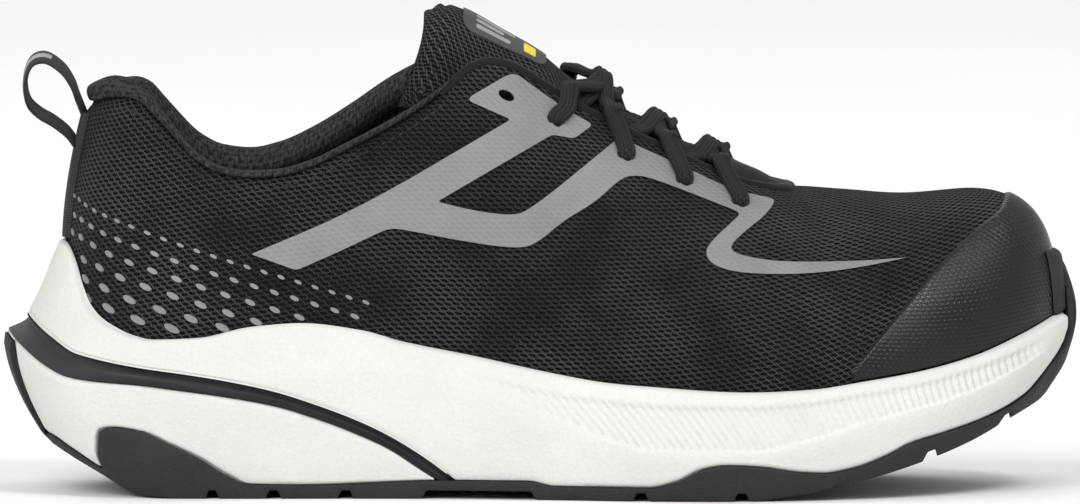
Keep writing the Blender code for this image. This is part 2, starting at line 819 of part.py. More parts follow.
# Tongue: the height of its crest, its half-width, how far its sides fall, and its thickness
TONGUE = table("place z half drop thick", [
    (-34.0, 131.2, 17.0, 7.0, 5.0),
    (-31.4, 134.4, 19.5, 10.0, 8.0),
    (-26.0, 135.0, 20.5, 12.0, 9.5),
    (-11.0, 128.0, 21.5, 13.5, 8.5),
    (0.0, 121.8, 21.5, 14.5, 7.5),
    (8.0, 115.2, 21.5, 14.5, 6.0),
    (17.0, 109.2, 22.0, 14.0, 5.0),
    (30.0, 101.8, 21.0, 13.5, 4.6),
    (45.0, 93.2, 20.0, 14.0, 4.2),
    (54.0, 86.8, 18.0, 13.5, 4.0),
    (62.0, 81.2, 15.0, 10.0, 3.6),
    (78.0, 80.5, 11.0, 5.0, 3.0),
])
TONGUE_PLACES = (-34.0, -31.4, -26.0, -17.0, -8.0, 0.0, 5.0, 10.0, 17.0, 30.0, 45.0, 54.0, 62.0, 78.0)


def tongue_point(place, across, depth):
    """A point of the tongue: across runs from -1 to 1 and depth from 0 on its face to 1 on its back."""
    half = read(TONGUE, "half", place)
    thick = read(TONGUE, "thick", place) * (1 - 0.55 * across**4)
    fall = read(TONGUE, "drop", place) * across**2
    slope = (read(TONGUE, "z", place + 1) - read(TONGUE, "z", place - 1)) / 2
    back = np.array([slope, 0.0, -1.0]) / math.hypot(slope, 1.0)
    crest = np.array([place, top_middle(place) + half * across, read(TONGUE, "z", place) - fall])
    return crest + back * thick * depth


def make_tongue():
    shares = np.linspace(-1, 1, 7)
    sections = []
    for place in TONGUE_PLACES:
        face = [tongue_point(place, a, 0.0) for a in shares]
        sections.append(face + [tongue_point(place, a, 1.0) for a in shares[::-1]])
    return add_object("tongue", mesh_of(*sweep(sections)), (0.022, 0.022, 0.023), 0.9)


def make_tongue_label():
    """A flat label on the face of the tongue, near its top."""
    shares = np.linspace(-LABEL_HALF, LABEL_HALF, 5)
    sections = []
    for place in LABEL_PLACES:
        thick = read(TONGUE, "thick", place)
        low, high = -GAP / thick, -(GAP + LABEL_THICKNESS) / thick
        face = [tongue_point(place, a, high) for a in shares]
        sections.append(face + [tongue_point(place, a, low) for a in shares[::-1]])
    return add_object("tongue_label", mesh_of(*sweep(sections)), (0.05, 0.05, 0.055), 0.5)


# Collar: how far the padding stands over the top edge, its thickness and its depth inside
COLLAR = table("place rise thick hang", [
    (-125.6, 3.4, 8.5, 22.0),
    (-118.0, 3.0, 9.0, 22.0),
    (-104.0, 3.2, 9.4, 20.0),
    (-90.0, 3.2, 9.0, 19.0),
    (-70.0, 3.6, 8.8, 20.0),
    (-48.0, 4.2, 8.0, 22.0),
    (-34.0, 3.6, 6.4, 22.0),
    (-25.0, 2.6, 4.8, 20.0),
])
# The crown of the padding: inwards by shares of its thickness, and up by shares of its rise
COLLAR_CROWN = ((0.1, 0.85), (0.4, 1.0), (0.75, 0.75))
COLLAR_HEM = 1.5


def station_of(place):
    """The station whose section ends at a place along the top edge."""
    return float(np.interp(place, SECTIONS["x_top"], SECTIONS["station"]))


def inner_wall(station, side, z):
    """The inside of the upper at a height, with the usual gap."""
    tilt = math.radians(read(SECTIONS, "tilt", station))
    return upper_at(station, side, z, -(WALL + GAP) / math.sin(tilt) - 0.15)


def collar_section(station, side):
    """The padding's outline, from the seam over the top and down inside the upper."""
    top = upper_point(station, side, 1.0)
    out = outward(station, side)
    place = read(SECTIONS, "x_top", station)
    rise, thick, hang = (read(COLLAR, column, place) for column in ("rise", "thick", "hang"))
    middle = inner_wall(station, side, top[2] - 0.5 * hang)
    bottom = inner_wall(station, side, top[2] - hang)
    edge = inner_wall(station, side, (top - UP)[2])
    return [
        top + out * COLLAR_PROUD / 3 + UP * COLLAR_SEAM_GAP,
        top + out * COLLAR_PROUD + UP * (COLLAR_SEAM_GAP + 0.4 * rise),
        *(top - out * inward * thick + UP * up * rise for inward, up in COLLAR_CROWN),
        top - out * thick - UP,
        middle - out * 0.55 * thick,
        bottom + (UP - out) * COLLAR_HEM,
        bottom,
        middle,
        edge,
        edge + UP * (1.0 + COLLAR_SEAM_GAP),
    ]


def make_collar():
    places = [s for s in upper_stations() if read(SECTIONS, "x_top", s) < COLLAR_FRONT - 2]
    places.append(station_of(COLLAR_FRONT))
    sections = [collar_section(s, LATERAL) for s in places[::-1]]
    sections += [collar_section(s, MEDIAL) for s in places[1:]]
    return add_object("collar", mesh_of(*sweep(sections)), (0.02, 0.02, 0.022), 0.9)


def make_throat_edge():
    """The rolled binding along the two sides of the throat and round its end."""
    places = [station_of(COLLAR_FRONT + 1.0)]
    tops = [(s, read(SECTIONS, "x_top", s)) for s in upper_stations()]
    places += [s for s, place in tops if COLLAR_FRONT + 4 < place < THROAT_END - 0.1]
    path = [upper_point(s, LATERAL, 1.0) for s in places]
    path.append(upper_point(station_of(THROAT_END), LATERAL, 1.0))
    path += [upper_point(s, MEDIAL, 1.0) for s in places[::-1]]
    path = np.array(path)
    ahead = np.gradient(path, axis=0)
    away = np.cross(ahead, UP)
    away /= np.linalg.norm(away, axis=1, keepdims=True)
    sections = []
    for point, out in zip(path, away):
        core = point - out * BINDING_INSET + UP * (BINDING_RADIUS + BINDING_LIFT)
        angles = [math.radians(60 * k + 30) for k in range(6)]
        sections.append([core + (out * math.cos(a) + UP * math.sin(a)) * BINDING_RADIUS for a in angles])
    return add_object("throat_edge", mesh_of(*sweep(sections)), (0.012, 0.012, 0.013), 0.4)


# Overlays cut from a second skin round the upper
def skin(name, rows, gap, thickness):
    """A shell that lies round the upper's outer face."""
    columns = upper_columns(upper_stations(), UPPER_ROWS)
    normals = upper_normals(columns)
    raised = (columns + normals * (gap + thickness))[:, rows]
    mesh = mesh_of(raised.reshape(-1, 3), sheet_faces(len(raised), raised.shape[1]), merge=0.3)
    made = add_object(name, mesh, (0.03, 0.03, 0.03), 0.5)
    shell = made.modifiers.new("thickness", "SOLIDIFY")
    shell.thickness = thickness * MM
    shell.offset = -1
    return made


def cutter(name, mesh):
    """A helper that only cuts."""
    made = bpy.data.objects.new(name, mesh)
    made.hide_render = True
    made.display_type = "WIRE"
    bpy.data.collections["cutters"].objects.link(made)
    return made


def side_prism(name, outline, y_low, y_high):
    """A prism across the shoe with an outline of x and z."""
    near = [np.array([x, y_low, z]) for x, z in outline]
    far = [np.array([x, y_high, z]) for x, z in outline]
    return cutter(name, mesh_of(*sweep([near, far])))


def cut(target, tool, operation):
    step = target.modifiers.new(tool.name, "BOOLEAN")
    step.operation = operation
    step.solver = "EXACT"
    step.object = tool


# Rear edge of the toe guard, from the sole up to the crest of the toe
GUARD_EDGE = (
    (87.0, 30.0),
    (93.6, 42.9),
    (100.5, 51.9),
    (107.2, 60.0),
    (115.0, 67.6),
    (123.0, 74.4),
    (129.0, 79.2),
    (132.0, 90.0),
)
# Stations of its lower edge, which follows the sole
GUARD_STATIONS = (148.5, 145.0, 141.0, 135.0, 128.0, 118.0, 106.0, 92.0)


def make_toe_cap():
    cap = skin("toe_cap", slice(0, len(UPPER_ROWS)), GAP, CAP_THICKNESS)
    foot = [plan_point(s, LATERAL, UPPER_HEEL, UPPER_TOE, 0.0)[0] for s in GUARD_STATIONS]
    sole_line = [(x, rim(s) + GUARD_LIFT) for x, s in zip(foot, GUARD_STATIONS)]
    outline = [(TOE_END, GUARD_EDGE[-1][1]), (TOE_END, sole_line[0][1]), *sole_line, *GUARD_EDGE[1:]]
    cut(cap, side_prism("toe_cap_outline", outline, -HALF_SPAN, HALF_SPAN), "INTERSECT")
    return cap


# Eyestay outline on the outer side; the inner side's is higher by the rise of its throat
EYESTAY = (
    (-19.0, 112.5),
    (-12.0, 117.4),
    (-7.0, 116.4),
    (4.0, 109.4),
    (15.0, 102.4),
    (28.0, 96.2),
    (44.0, 88.6),
    (59.0, 82.6),
    (63.0, 78.4),
    (58.0, 75.0),
    (40.0, 81.4),
    (22.0, 90.2),
    (8.0, 98.6),
    (-4.0, 105.0),
)
# Eyelets: place along the top edge, and drop below it
EYELETS = ((-9.0, 8.4), (5.0, 7.4), (23.6, 7.2), (38.6, 7.0), (53.4, 6.8))


def eyelet(place, drop, side):
    """Where an eyelet is, and the direction straight out of it."""
    station = station_of(place)
    top = upper_point(station, side, 1.0)
    share = upper_share_at(station, side, top[2] - drop)
    point = upper_point(station, side, share)
    along = upper_point(station + 0.5, side, share) - upper_point(station - 0.5, side, share)
    up = upper_point(station, side, share + 0.005) - upper_point(station, side, share - 0.005)
    normal = np.cross(along, up) * -side
    return point, normal / np.linalg.norm(normal)


def make_eyelet_cutter():
    """Round pins through the eyestays and the wall under them."""
    shape = bmesh.new()
    for side in (LATERAL, MEDIAL):
        for place, drop in EYELETS:
            point, normal = eyelet(place, drop, side)
            turn = Vector((0, 0, 1)).rotation_difference(Vector(normal)).to_matrix().to_4x4()
            made = bmesh.ops.create_cone(shape, cap_ends=True, segments=6, radius1=EYELET_RADIUS * MM,
                                         radius2=EYELET_RADIUS * MM, depth=EYELET_PIN * MM, matrix=turn)
            bmesh.ops.translate(shape, verts=made["verts"], vec=Vector(point * MM))
    mesh = bpy.data.meshes.new("eyelet_pins")
    shape.to_mesh(mesh)
    shape.free()
    return cutter("eyelet_pins", mesh)


def make_eyestays(pins):
    upper_half = slice(len(UPPER_ROWS) // 2, len(UPPER_ROWS))
    for name, side in (("eyestay_lateral", LATERAL), ("eyestay_medial", MEDIAL)):
        stay = skin(name, upper_half, 1.5 * GAP, FILM_THICKNESS)
        lift = EYESTAY_MEDIAL_LIFT * (side == MEDIAL)
        outline = [(x, z + lift) for x, z in EYESTAY]
        span = (-HALF_SPAN, 0.0) if side == LATERAL else (2 * RIDGE_SHIFT, HALF_SPAN)
        cut(stay, side_prism(name + "_outline", outline, *span), "INTERSECT")
        cut(stay, pins, "DIFFERENCE")


def make_backstay():
    """The strip up the back of the heel."""
    tip, near = upper_stations()[:2]
    columns = []
    for s, side in ((near, LATERAL), (tip, LATERAL), (near, MEDIAL)):
        low = upper_share_at(s, side, rim(HEEL_END) + BACKSTAY_LIFT)
        proud_by = outward(s, side) * (GAP + BACKSTAY_THICKNESS)
        shares = np.linspace(low, BACKSTAY_TOP, BACKSTAY_ROWS)
        columns.append([upper_point(s, side, share) + proud_by for share in shares])
    faces = sheet_faces(len(columns), BACKSTAY_ROWS)[:-(BACKSTAY_ROWS - 1)]
    mesh = mesh_of([p for column in columns for p in column], faces)
    strip = add_object("backstay", mesh, (0.02, 0.02, 0.02), 0.7)
    shell = strip.modifiers.new("thickness", "SOLIDIFY")
    shell.thickness = BACKSTAY_THICKNESS * MM
    shell.offset = -1
    return strip


# Pull loop: its path behind the heel, from its upper to its lower end
LOOP_PATH = (
    (-128.3, 104.8),
    (-129.2, 109.2),
    (-130.6, 113.6),
    (-133.4, 117.6),
    (-137.6, 120.4),
    (-141.0, 120.0),
    (-143.0, 117.2),
    (-143.6, 112.6),
    (-142.6, 108.2),
    (-139.8, 105.2),
    (-135.8, 102.8),
    (-132.6, 100.2),
    (-131.6, 96.6),
)


def make_pull_loop():
    path = np.array([(x, 0.0, z) for x, z in LOOP_PATH])
    ahead = np.gradient(path, axis=0)
    ahead /= np.linalg.norm(ahead, axis=1, keepdims=True)
    sections = []
    for point, way in zip(path, ahead):
        thick = np.cross(way, [0.0, 1.0, 0.0]) * LOOP_THICKNESS / 2
        wide = np.array([0.0, LOOP_WIDTH / 2, 0.0])
        low, top = point - thick, point + thick
        sections.append([low - wide, low + wide, top + wide, top - wide])
    return add_object("pull_loop", mesh_of(*sweep(sections)), (0.03, 0.03, 0.03), 0.8)


# Lace
def lace_leg(place, point, normal, side):
    """The end of a strand: from an eyelet up the eyestay and over the throat's binding."""
    edge = upper_point(station_of(place), side, 1.0)
    out = outward(station_of(place), side)
    over_binding = BINDING_LIFT + 2 * BINDING_RADIUS
    return [
        point + normal * LACE_OFF,
        edge + out * LACE_SPREAD + UP * LACE_SHOULDER,
        edge - out * BINDING_INSET + UP * (over_binding + LACE_THICKNESS / 2 + LACE_CLEAR),
    ]


def lace_strand(start, end):
    """A flat strand from an eyelet of the outer side over the tongue to one of the inner side."""
    lean = (end[0] - start[0]) * LACE_LEAN
    near = lace_leg(start[0] + lean, *eyelet(*start, LATERAL), LATERAL)
    far = lace_leg(end[0] - lean, *eyelet(*end, MEDIAL), MEDIAL)
    place = (near[-1][0] + far[-1][0]) / 2
    crest = np.array([place, top_middle(place), read(TONGUE, "z", place) + LACE_LIFT])
    path = np.array(near + [crest] + far[::-1])
    ahead = np.gradient(path, axis=0)
    ahead /= np.linalg.norm(ahead, axis=1, keepdims=True)
    sections = []
    slope = (read(TONGUE, "z", place + 5) - read(TONGUE, "z", place - 5)) / 10
    for point, way in zip(path, ahead):
        wide = np.cross([-slope, 0.0, 1.0], way)
        wide /= np.linalg.norm(wide)
        high = np.cross(way, wide)
        wide *= LACE_WIDTH / 2
        low, top = point - high * LACE_THICKNESS / 2, point + high * LACE_THICKNESS / 2
        sections.append([low - wide, low + wide, top + 0.8 * wide, top - 0.8 * wide])
    return mesh_of(*sweep(sections))


def make_lace():
    """The crossings, joined where they meet."""
    used = EYELETS[1:]
    pairs = []
    for upper, lower in zip(used, used[1:]):
        pairs += [(lower, upper), (upper, lower)]
    strands = [lace_strand(start, end) for start, end in pairs]
    lace = add_object("lace", strands[0], (0.015, 0.015, 0.016), 0.8)
    for number, mesh in enumerate(strands[1:]):
        cut(lace, cutter(f"lace_strand_{number}", mesh), "UNION")
    return lace


def main():
    for old in list(bpy.data.objects):
        bpy.data.objects.remove(old)
    for name in ("safety_shoe", "cutters"):
        bpy.context.scene.collection.children.link(bpy.data.collections.new(name))
    origin = bpy.data.objects.new("shoe_origin", None)
    bpy.data.collections["safety_shoe"].objects.link(origin)
    make_outsole()
    make_heel_wedge()
    make_heel_plate()
    make_midsole()
    upper = make_upper()
    pins = make_eyelet_cutter()
    cut(upper, pins, "DIFFERENCE")
    make_insole()
    make_tongue()
    make_tongue_label()
    make_collar()
    make_throat_edge()
    make_toe_cap()
    make_eyestays(pins)
    make_backstay()
    make_pull_loop()
    make_lace()


main()
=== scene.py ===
"""The finished look of a low safety trainer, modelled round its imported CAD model.

The file is laid out as a Blender add-on and is run as a script. Each operator models one piece of the
shoe, or a group of like pieces, and the last one sets the stage.

Shapes are worked out in millimetres and become metres where a mesh is made. +X points to the toe, -Y to
the outer (lateral) side and +Z up. The origin lies on the floor, under the middle of the shoe.
"""

import functools
import math

import bpy
import numpy as np
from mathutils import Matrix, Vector
from mathutils.bvhtree import BVHTree


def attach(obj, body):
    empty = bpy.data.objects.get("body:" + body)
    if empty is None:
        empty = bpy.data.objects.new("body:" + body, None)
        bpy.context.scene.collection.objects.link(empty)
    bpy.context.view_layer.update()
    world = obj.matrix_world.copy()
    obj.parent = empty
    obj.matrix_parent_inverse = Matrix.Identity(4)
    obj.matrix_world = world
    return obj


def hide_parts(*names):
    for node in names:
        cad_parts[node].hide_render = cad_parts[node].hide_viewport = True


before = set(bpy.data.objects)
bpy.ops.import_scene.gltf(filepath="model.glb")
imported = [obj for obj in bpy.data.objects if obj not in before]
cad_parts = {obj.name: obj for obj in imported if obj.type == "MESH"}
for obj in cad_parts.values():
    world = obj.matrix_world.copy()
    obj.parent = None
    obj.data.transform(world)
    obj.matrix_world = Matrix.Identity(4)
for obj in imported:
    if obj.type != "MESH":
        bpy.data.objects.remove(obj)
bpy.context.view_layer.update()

bl_info = {
    "name": "Safety trainer",
    "version": (1, 0, 0),
    "blender": (4, 5, 0),
    "location": "3D View > Sidebar > Safety trainer",
    "description": "Models the pieces of a low safety trainer and lights it",
    "category": "Object",
}

MM = 0.001
LATERAL = -1
MEDIAL = 1
UP = np.array([0.0, 0.0, 1.0])

# Driving sizes
HEEL_END = -148.8
TOE_END = 148.5
HEEL_ROUND = 46.0
TOE_ROUND = 72.0
HEEL_POWER = 2.15
TOE_POWER = 2.2
END_SLIDE = 70.0
TOE_SWING = 5.0
SWING_START = 20.0
GAP = 0.35
CUP_GAP = 0.6
WALL = 2.2
LUG_DEPTH = 2.4
RUBBER_SHEET = 1.0
RUBBER_WALL = 1.6
RUBBER_PROUD = 0.35
BUMPER_PROUD = 1.2
PLATE_GROOVE = 2.0
CORE_INSET = 9.0
CORE_FLOOR = 2.4
INSOLE_THICKNESS = 4.0
INSOLE_BODY = 3.0
INSOLE_DISH = 0.9
UPPER_HEEL = -127.5
UPPER_TOE = 144.3
UPPER_INSET = 6.9
CAP_THICKNESS = 0.8
RIDGE_SHIFT = 3.0
THROAT_END = 70.0
COLLAR_FRONT = -25.0
REAR_STRIP_END = -146.9
REAR_STRIP_DROP = 1.4
TOE_BUMPER_START = 144.0
TOE_BUMPER_TOP = 66.5
BUMPER_LOW = 48.8
BUMPER_SIDE = 146.1
BUMPER_LIFT = 3.0
BUMPER_ROUND = 2.4
BUMPER_ROUGHNESS = 0.09
BUMPER_THICKNESS = 1.5
WEDGE_FRONT = -29.5
PLATE_FRONT = -25.0
GROOVE_PLACES = (-92.0, -74.0, -54.0, 28.0, 56.0, 84.0, 110.0, 134.0)
GROOVE_HALF = 2.4
ARCH = (-33.0, -1.0)
LONG_GROOVES = (0.335, 0.665)
LONG_GROOVE_HALF = 0.035

# Fineness of the modelled faces
SOLE_STEP = 0.85
RIB_STEP = 0.4
UPPER_STEP = 1.7
UPPER_SHARES = np.linspace(0, 1, 72)
WALL_SHARES = np.linspace(0, 1, 121)
GUARD_SHARES = np.linspace(0, 1, 241)
BUMPER_ROWS = 34
GUARD_ROWS = 40
BACKSTAY_ROWS = 44
TOE_STEPS = (147.4, 147.65, 147.9, 148.0, 148.1, 148.2, 148.3, 148.4)
GROOVE_STEPS = (-2.3, -1.1, 1.1, 2.3)
LONG_GROOVE_STEPS = np.array([-1.0, -0.7, -0.4, 0.0, 0.4, 0.7, 1.0])


def table(columns, rows):
    """A table by station: the first column is the place along the foot."""
    names = columns.split()
    return {name: np.array([row[i] for row in rows], float) for i, name in enumerate(names)}


# Half-widths of the sole at its widest line, as if heel and toe were square
PLAN = table("station lateral medial", [
    (-148.8, 42.0, 40.0),
    (-115.0, 43.0, 40.5),
    (-85.0, 43.0, 40.0),
    (-55.0, 42.5, 38.0),
    (-30.0, 43.0, 36.5),
    (-10.0, 45.5, 38.5),
    (10.0, 49.0, 43.5),
    (30.0, 52.8, 49.5),
    (50.0, 54.6, 53.2),
    (68.0, 54.2, 53.6),
    (90.0, 51.5, 52.6),
    (110.0, 49.0, 51.5),
    (130.0, 46.5, 50.0),
    (148.5, 45.0, 48.0),
])

# Lines round the side of the sole: their heel and toe tips, and how far they lie inside the widest line
SIDE_LINES = {
    "bevel": (-139.0, 146.4, 1.8),
    "ridge": (-148.8, 148.5, 0.0),
    "band": (-143.4, 148.8, 1.4),
    "rim": (-134.0, 148.8, 3.0),
}
GROUND_LINE = (-118.0, 141.0, 5.0)

SIDE_HEIGHTS = table("station bevel ridge band rim", [
    (-148.8, 17.0, 44.6, 49.2, 70.0),
    (-146.5, 16.2, 42.8, 47.6, 69.0),
    (-143.0, 15.4, 40.2, 45.8, 65.0),
    (-140.0, 14.8, 37.8, 44.0, 58.5),
    (-137.0, 14.4, 36.2, 42.9, 53.6),
    (-133.0, 13.7, 34.6, 41.6, 50.4),
    (-127.0, 12.9, 32.8, 39.8, 47.8),
    (-119.0, 12.5, 31.9, 38.8, 45.4),
    (-112.0, 12.2, 31.2, 38.2, 44.4),
    (-96.0, 12.0, 30.4, 38.0, 44.9),
    (-80.0, 12.0, 31.0, 39.5, 48.0),
    (-66.0, 12.0, 32.8, 41.0, 49.0),
    (-50.0, 12.2, 35.6, 41.2, 47.1),
    (-38.0, 12.4, 35.8, 39.6, 43.9),
    (-17.0, 12.4, 30.8, 34.2, 39.7),
    (4.0, 11.0, 23.2, 29.5, 35.3),
    (18.0, 9.0, 17.6, 27.8, 33.0),
    (30.0, 7.6, 14.5, 26.8, 32.0),
    (59.0, 7.2, 14.0, 26.1, 30.4),
    (75.0, 9.4, 17.0, 27.3, 31.0),
    (90.0, 13.2, 21.6, 29.4, 33.0),
    (106.0, 17.4, 25.4, 31.9, 35.5),
    (122.0, 22.8, 30.2, 35.9, 39.3),
    (137.0, 30.0, 37.4, 41.4, 44.8),
    (145.0, 34.6, 42.6, 45.6, 48.2),
    (148.5, 37.0, 45.0, 47.6, 49.6),
])

# The tread's own line, and the footbed inside the cup
TREAD = table("station ground footbed", [
    (-148.8, 2.6, 38.0),
    (-130.0, 1.4, 37.6),
    (-112.0, 0.4, 37.2),
    (-98.0, 0.0, 37.0),
    (-50.0, 0.0, 35.4),
    (0.0, 0.0, 28.6),
    (50.0, 0.0, 23.2),
    (58.0, 0.0, 23.0),
    (66.0, 0.9, 23.1),
    (78.0, 2.8, 23.9),
    (90.0, 5.4, 25.6),
    (101.0, 8.3, 27.6),
    (112.0, 11.6, 29.9),
    (124.0, 15.8, 32.9),
    (137.0, 21.4, 36.6),
    (148.5, 25.8, 39.6),
])

# Top edge of the black rubber on the side of the sole
RUBBER_EDGE = table("station height", [
    (-148.8, 17.0),
    (-144.0, 16.0),
    (-138.0, 12.5),
    (-131.8, 8.0),
    (-131.2, 8.3),
    (-125.2, 17.8),
    (-124.6, 19.0),
    (-120.0, 19.9),
    (-112.0, 18.8),
    (-104.0, 15.4),
    (-95.0, 11.2),
    (-88.0, 7.0),
    (-81.0, 4.1),
    (-66.0, 3.8),
    (-24.0, 5.2),
    (-4.0, 5.2),
    (4.0, 3.8),
    (30.0, 3.8),
    (38.0, 5.6),
    (46.0, 9.4),
    (52.0, 10.3),
    (61.0, 9.8),
    (72.0, 8.2),
    (79.0, 7.8),
    (88.0, 9.2),
    (97.0, 12.4),
    (104.0, 15.8),
    (113.0, 18.2),
    (126.0, 22.0),
    (138.0, 27.6),
    (141.0, 31.2),
    (143.6, 35.0),
    (146.0, 38.8),
    (147.4, 42.4),
    (147.9, 46.0),
    (148.15, 58.0),
    (148.5, 64.5),
])

# The black plate in the heel, between the two foams
PLATE = table("station bottom top", [
    (-148.8, 45.0, 49.0),
    (-144.0, 40.8, 46.0),
    (-138.0, 36.6, 42.6),
    (-132.0, 34.0, 39.9),
    (-124.0, 33.0, 38.2),
    (-112.0, 32.2, 36.3),
    (-99.0, 30.6, 34.6),
    (-87.0, 28.9, 32.7),
    (-74.0, 26.5, 29.9),
    (-61.0, 22.5, 25.7),
    (-50.0, 18.2, 21.4),
    (-42.0, 14.4, 17.5),
    (-33.0, 8.5, 12.0),
    (-27.5, 4.9, 8.0),
    (-23.0, 1.8, 4.3),
])

# Sections of the upper: where each one ends at the top, and how its wall leaves the foot and meets the top
SECTIONS = table("station x_top rise flare reach tilt", [
    (-148.8, -125.6, 23.5, 8.6, 19.0, 75.0),
    (-140.0, -121.4, 23.4, 8.2, 19.0, 76.0),
    (-125.0, -113.4, 22.6, 7.4, 18.5, 78.0),
    (-108.0, -102.6, 21.0, 6.4, 17.0, 80.0),
    (-90.0, -89.0, 19.5, 5.8, 16.0, 81.0),
    (-70.0, -71.6, 19.5, 5.6, 16.0, 80.0),
    (-50.0, -53.4, 20.5, 5.4, 18.0, 77.0),
    (-30.0, -35.4, 23.0, 5.0, 22.0, 70.0),
    (-12.0, -19.4, 26.0, 4.6, 25.0, 62.0),
    (5.0, -4.6, 27.5, 4.2, 26.0, 52.0),
    (25.0, 13.6, 26.5, 4.2, 24.5, 43.0),
    (45.0, 32.2, 25.5, 4.2, 23.0, 36.0),
    (65.0, 50.4, 24.5, 4.2, 22.0, 29.0),
    (85.0, 66.4, 23.5, 4.2, 22.0, 18.0),
    (105.0, 81.0, 24.5, 4.0, 25.0, 7.0),
    (125.0, 96.6, 27.0, 3.0, 27.0, 2.0),
    (140.0, 109.6, 30.0, 1.6, 25.0, 0.0),
    (148.5, 117.6, 31.5, 0.8, 22.0, 0.0),
])

# The upper's top edge: the collar seam, the throat and then the closed ridge over the toes
TOPLINE = table("place lateral medial z_lateral z_medial", [
    (-125.6, 22.0, 21.4, 108.4, 108.4),
    (-120.0, 23.5, 22.8, 110.2, 110.2),
    (-115.0, 25.8, 25.0, 110.6, 110.6),
    (-110.5, 27.6, 26.8, 108.9, 109.1),
    (-105.5, 29.2, 28.4, 104.0, 104.6),
    (-101.0, 30.6, 29.8, 99.2, 100.2),
    (-95.5, 32.6, 31.6, 93.6, 95.2),
    (-89.0, 34.4, 33.2, 90.2, 92.2),
    (-81.0, 35.8, 34.4, 89.0, 91.2),
    (-73.0, 36.2, 34.8, 89.4, 92.8),
    (-64.0, 36.0, 34.6, 91.8, 96.8),
    (-53.5, 34.8, 33.6, 96.8, 103.2),
    (-41.0, 32.6, 31.6, 103.3, 111.8),
    (-31.0, 30.0, 29.2, 109.6, 117.2),
    (-24.5, 28.2, 27.4, 114.8, 120.2),
    (-19.0, 26.8, 26.0, 119.4, 122.3),
    (-14.0, 25.4, 24.8, 120.8, 123.2),
    (-7.0, 23.8, 23.2, 119.2, 121.6),
    (0.0, 22.4, 21.8, 115.0, 117.6),
    (8.0, 21.2, 20.6, 109.8, 112.6),
    (17.0, 20.2, 19.6, 105.0, 107.8),
    (28.0, 19.0, 18.4, 99.6, 101.4),
    (40.0, 17.6, 17.0, 93.8, 95.2),
    (52.0, 15.8, 15.2, 88.6, 89.8),
    (60.0, 13.6, 13.2, 85.8, 86.6),
    (66.0, 9.6, 9.4, 84.4, 84.8),
    (69.0, 5.2, 5.2, 84.2, 84.4),
    (70.0, 0.0, 0.0, 84.4, 84.4),
    (84.0, 0.0, 0.0, 83.5, 83.5),
    (101.0, 0.0, 0.0, 82.3, 82.3),
    (117.6, 0.0, 0.0, 83.5, 83.5),
])

# Tongue: the height of its crest, its half-width, how far its sides fall, and its thickness
TONGUE = table("place z half drop thick", [
    (-32.0, 131.4, 22.5, 23.0, 7.5),
    (-30.2, 134.0, 23.0, 24.6, 8.6),
    (-27.4, 135.7, 23.6, 26.0, 9.4),
    (-22.0, 134.2, 24.0, 26.5, 9.5),
    (-11.0, 128.2, 22.8, 22.5, 8.5),
    (0.0, 121.8, 21.5, 17.0, 7.5),
    (8.0, 115.2, 21.5, 15.0, 6.0),
    (17.0, 109.2, 22.0, 14.0, 5.0),
    (30.0, 101.8, 21.0, 13.5, 4.6),
    (45.0, 94.0, 20.0, 14.0, 4.2),
    (54.0, 89.0, 18.0, 13.5, 4.0),
    (60.0, 86.4, 14.5, 10.0, 3.8),
    (65.0, 83.6, 12.0, 7.0, 3.4),
    (69.0, 81.6, 11.0, 6.0, 3.0),
    (78.0, 80.4, 11.0, 5.0, 3.0),
])

# Collar: how far the padding stands over the top edge, its thickness and its depth inside
COLLAR = table("place rise thick hang", [
    (-125.6, 4.8, 8.5, 24.0),
    (-121.0, 4.6, 9.0, 24.0),
    (-116.5, 3.4, 9.4, 23.0),
    (-111.0, 3.7, 9.6, 22.0),
    (-104.0, 3.3, 9.6, 21.0),
    (-96.0, 2.6, 9.4, 20.0),
    (-88.0, 2.1, 9.0, 19.0),
    (-70.0, 2.1, 8.8, 20.0),
    (-48.0, 2.1, 8.0, 22.0),
    (-34.0, 2.0, 6.0, 20.0),
    (-25.0, 1.8, 3.4, 9.0),
])

# Rear edge of the toe guard, from the sole up to the crest of the toe
GUARD_EDGE = table("height place", [
    (30.0, 82.0),
    (36.0, 86.6),
    (42.9, 92.4),
    (51.9, 100.2),
    (60.0, 107.2),
    (67.6, 115.0),
    (74.4, 123.0),
    (79.2, 129.0),
    (90.0, 132.0),
])

# Eyelets: place along the top edge, and drop below it. The first holds no lace.
EYELETS = ((-9.0, 8.4), (5.0, 7.4), (23.6, 7.2), (38.6, 7.0), (53.4, 6.8))

# Pull loop: its path behind the heel, from its upper to its lower end
LOOP_PATH = (
    (-125.6, 101.0),
    (-127.4, 105.4),
    (-129.0, 109.4),
    (-130.6, 113.6),
    (-133.4, 117.6),
    (-137.6, 120.4),
    (-141.0, 120.0),
    (-143.0, 117.2),
    (-143.6, 112.6),
    (-142.6, 108.2),
    (-139.8, 105.2),
    (-135.8, 102.8),
    (-132.2, 100.0),
    (-130.0, 97.2),
    (-128.2, 94.0),
)

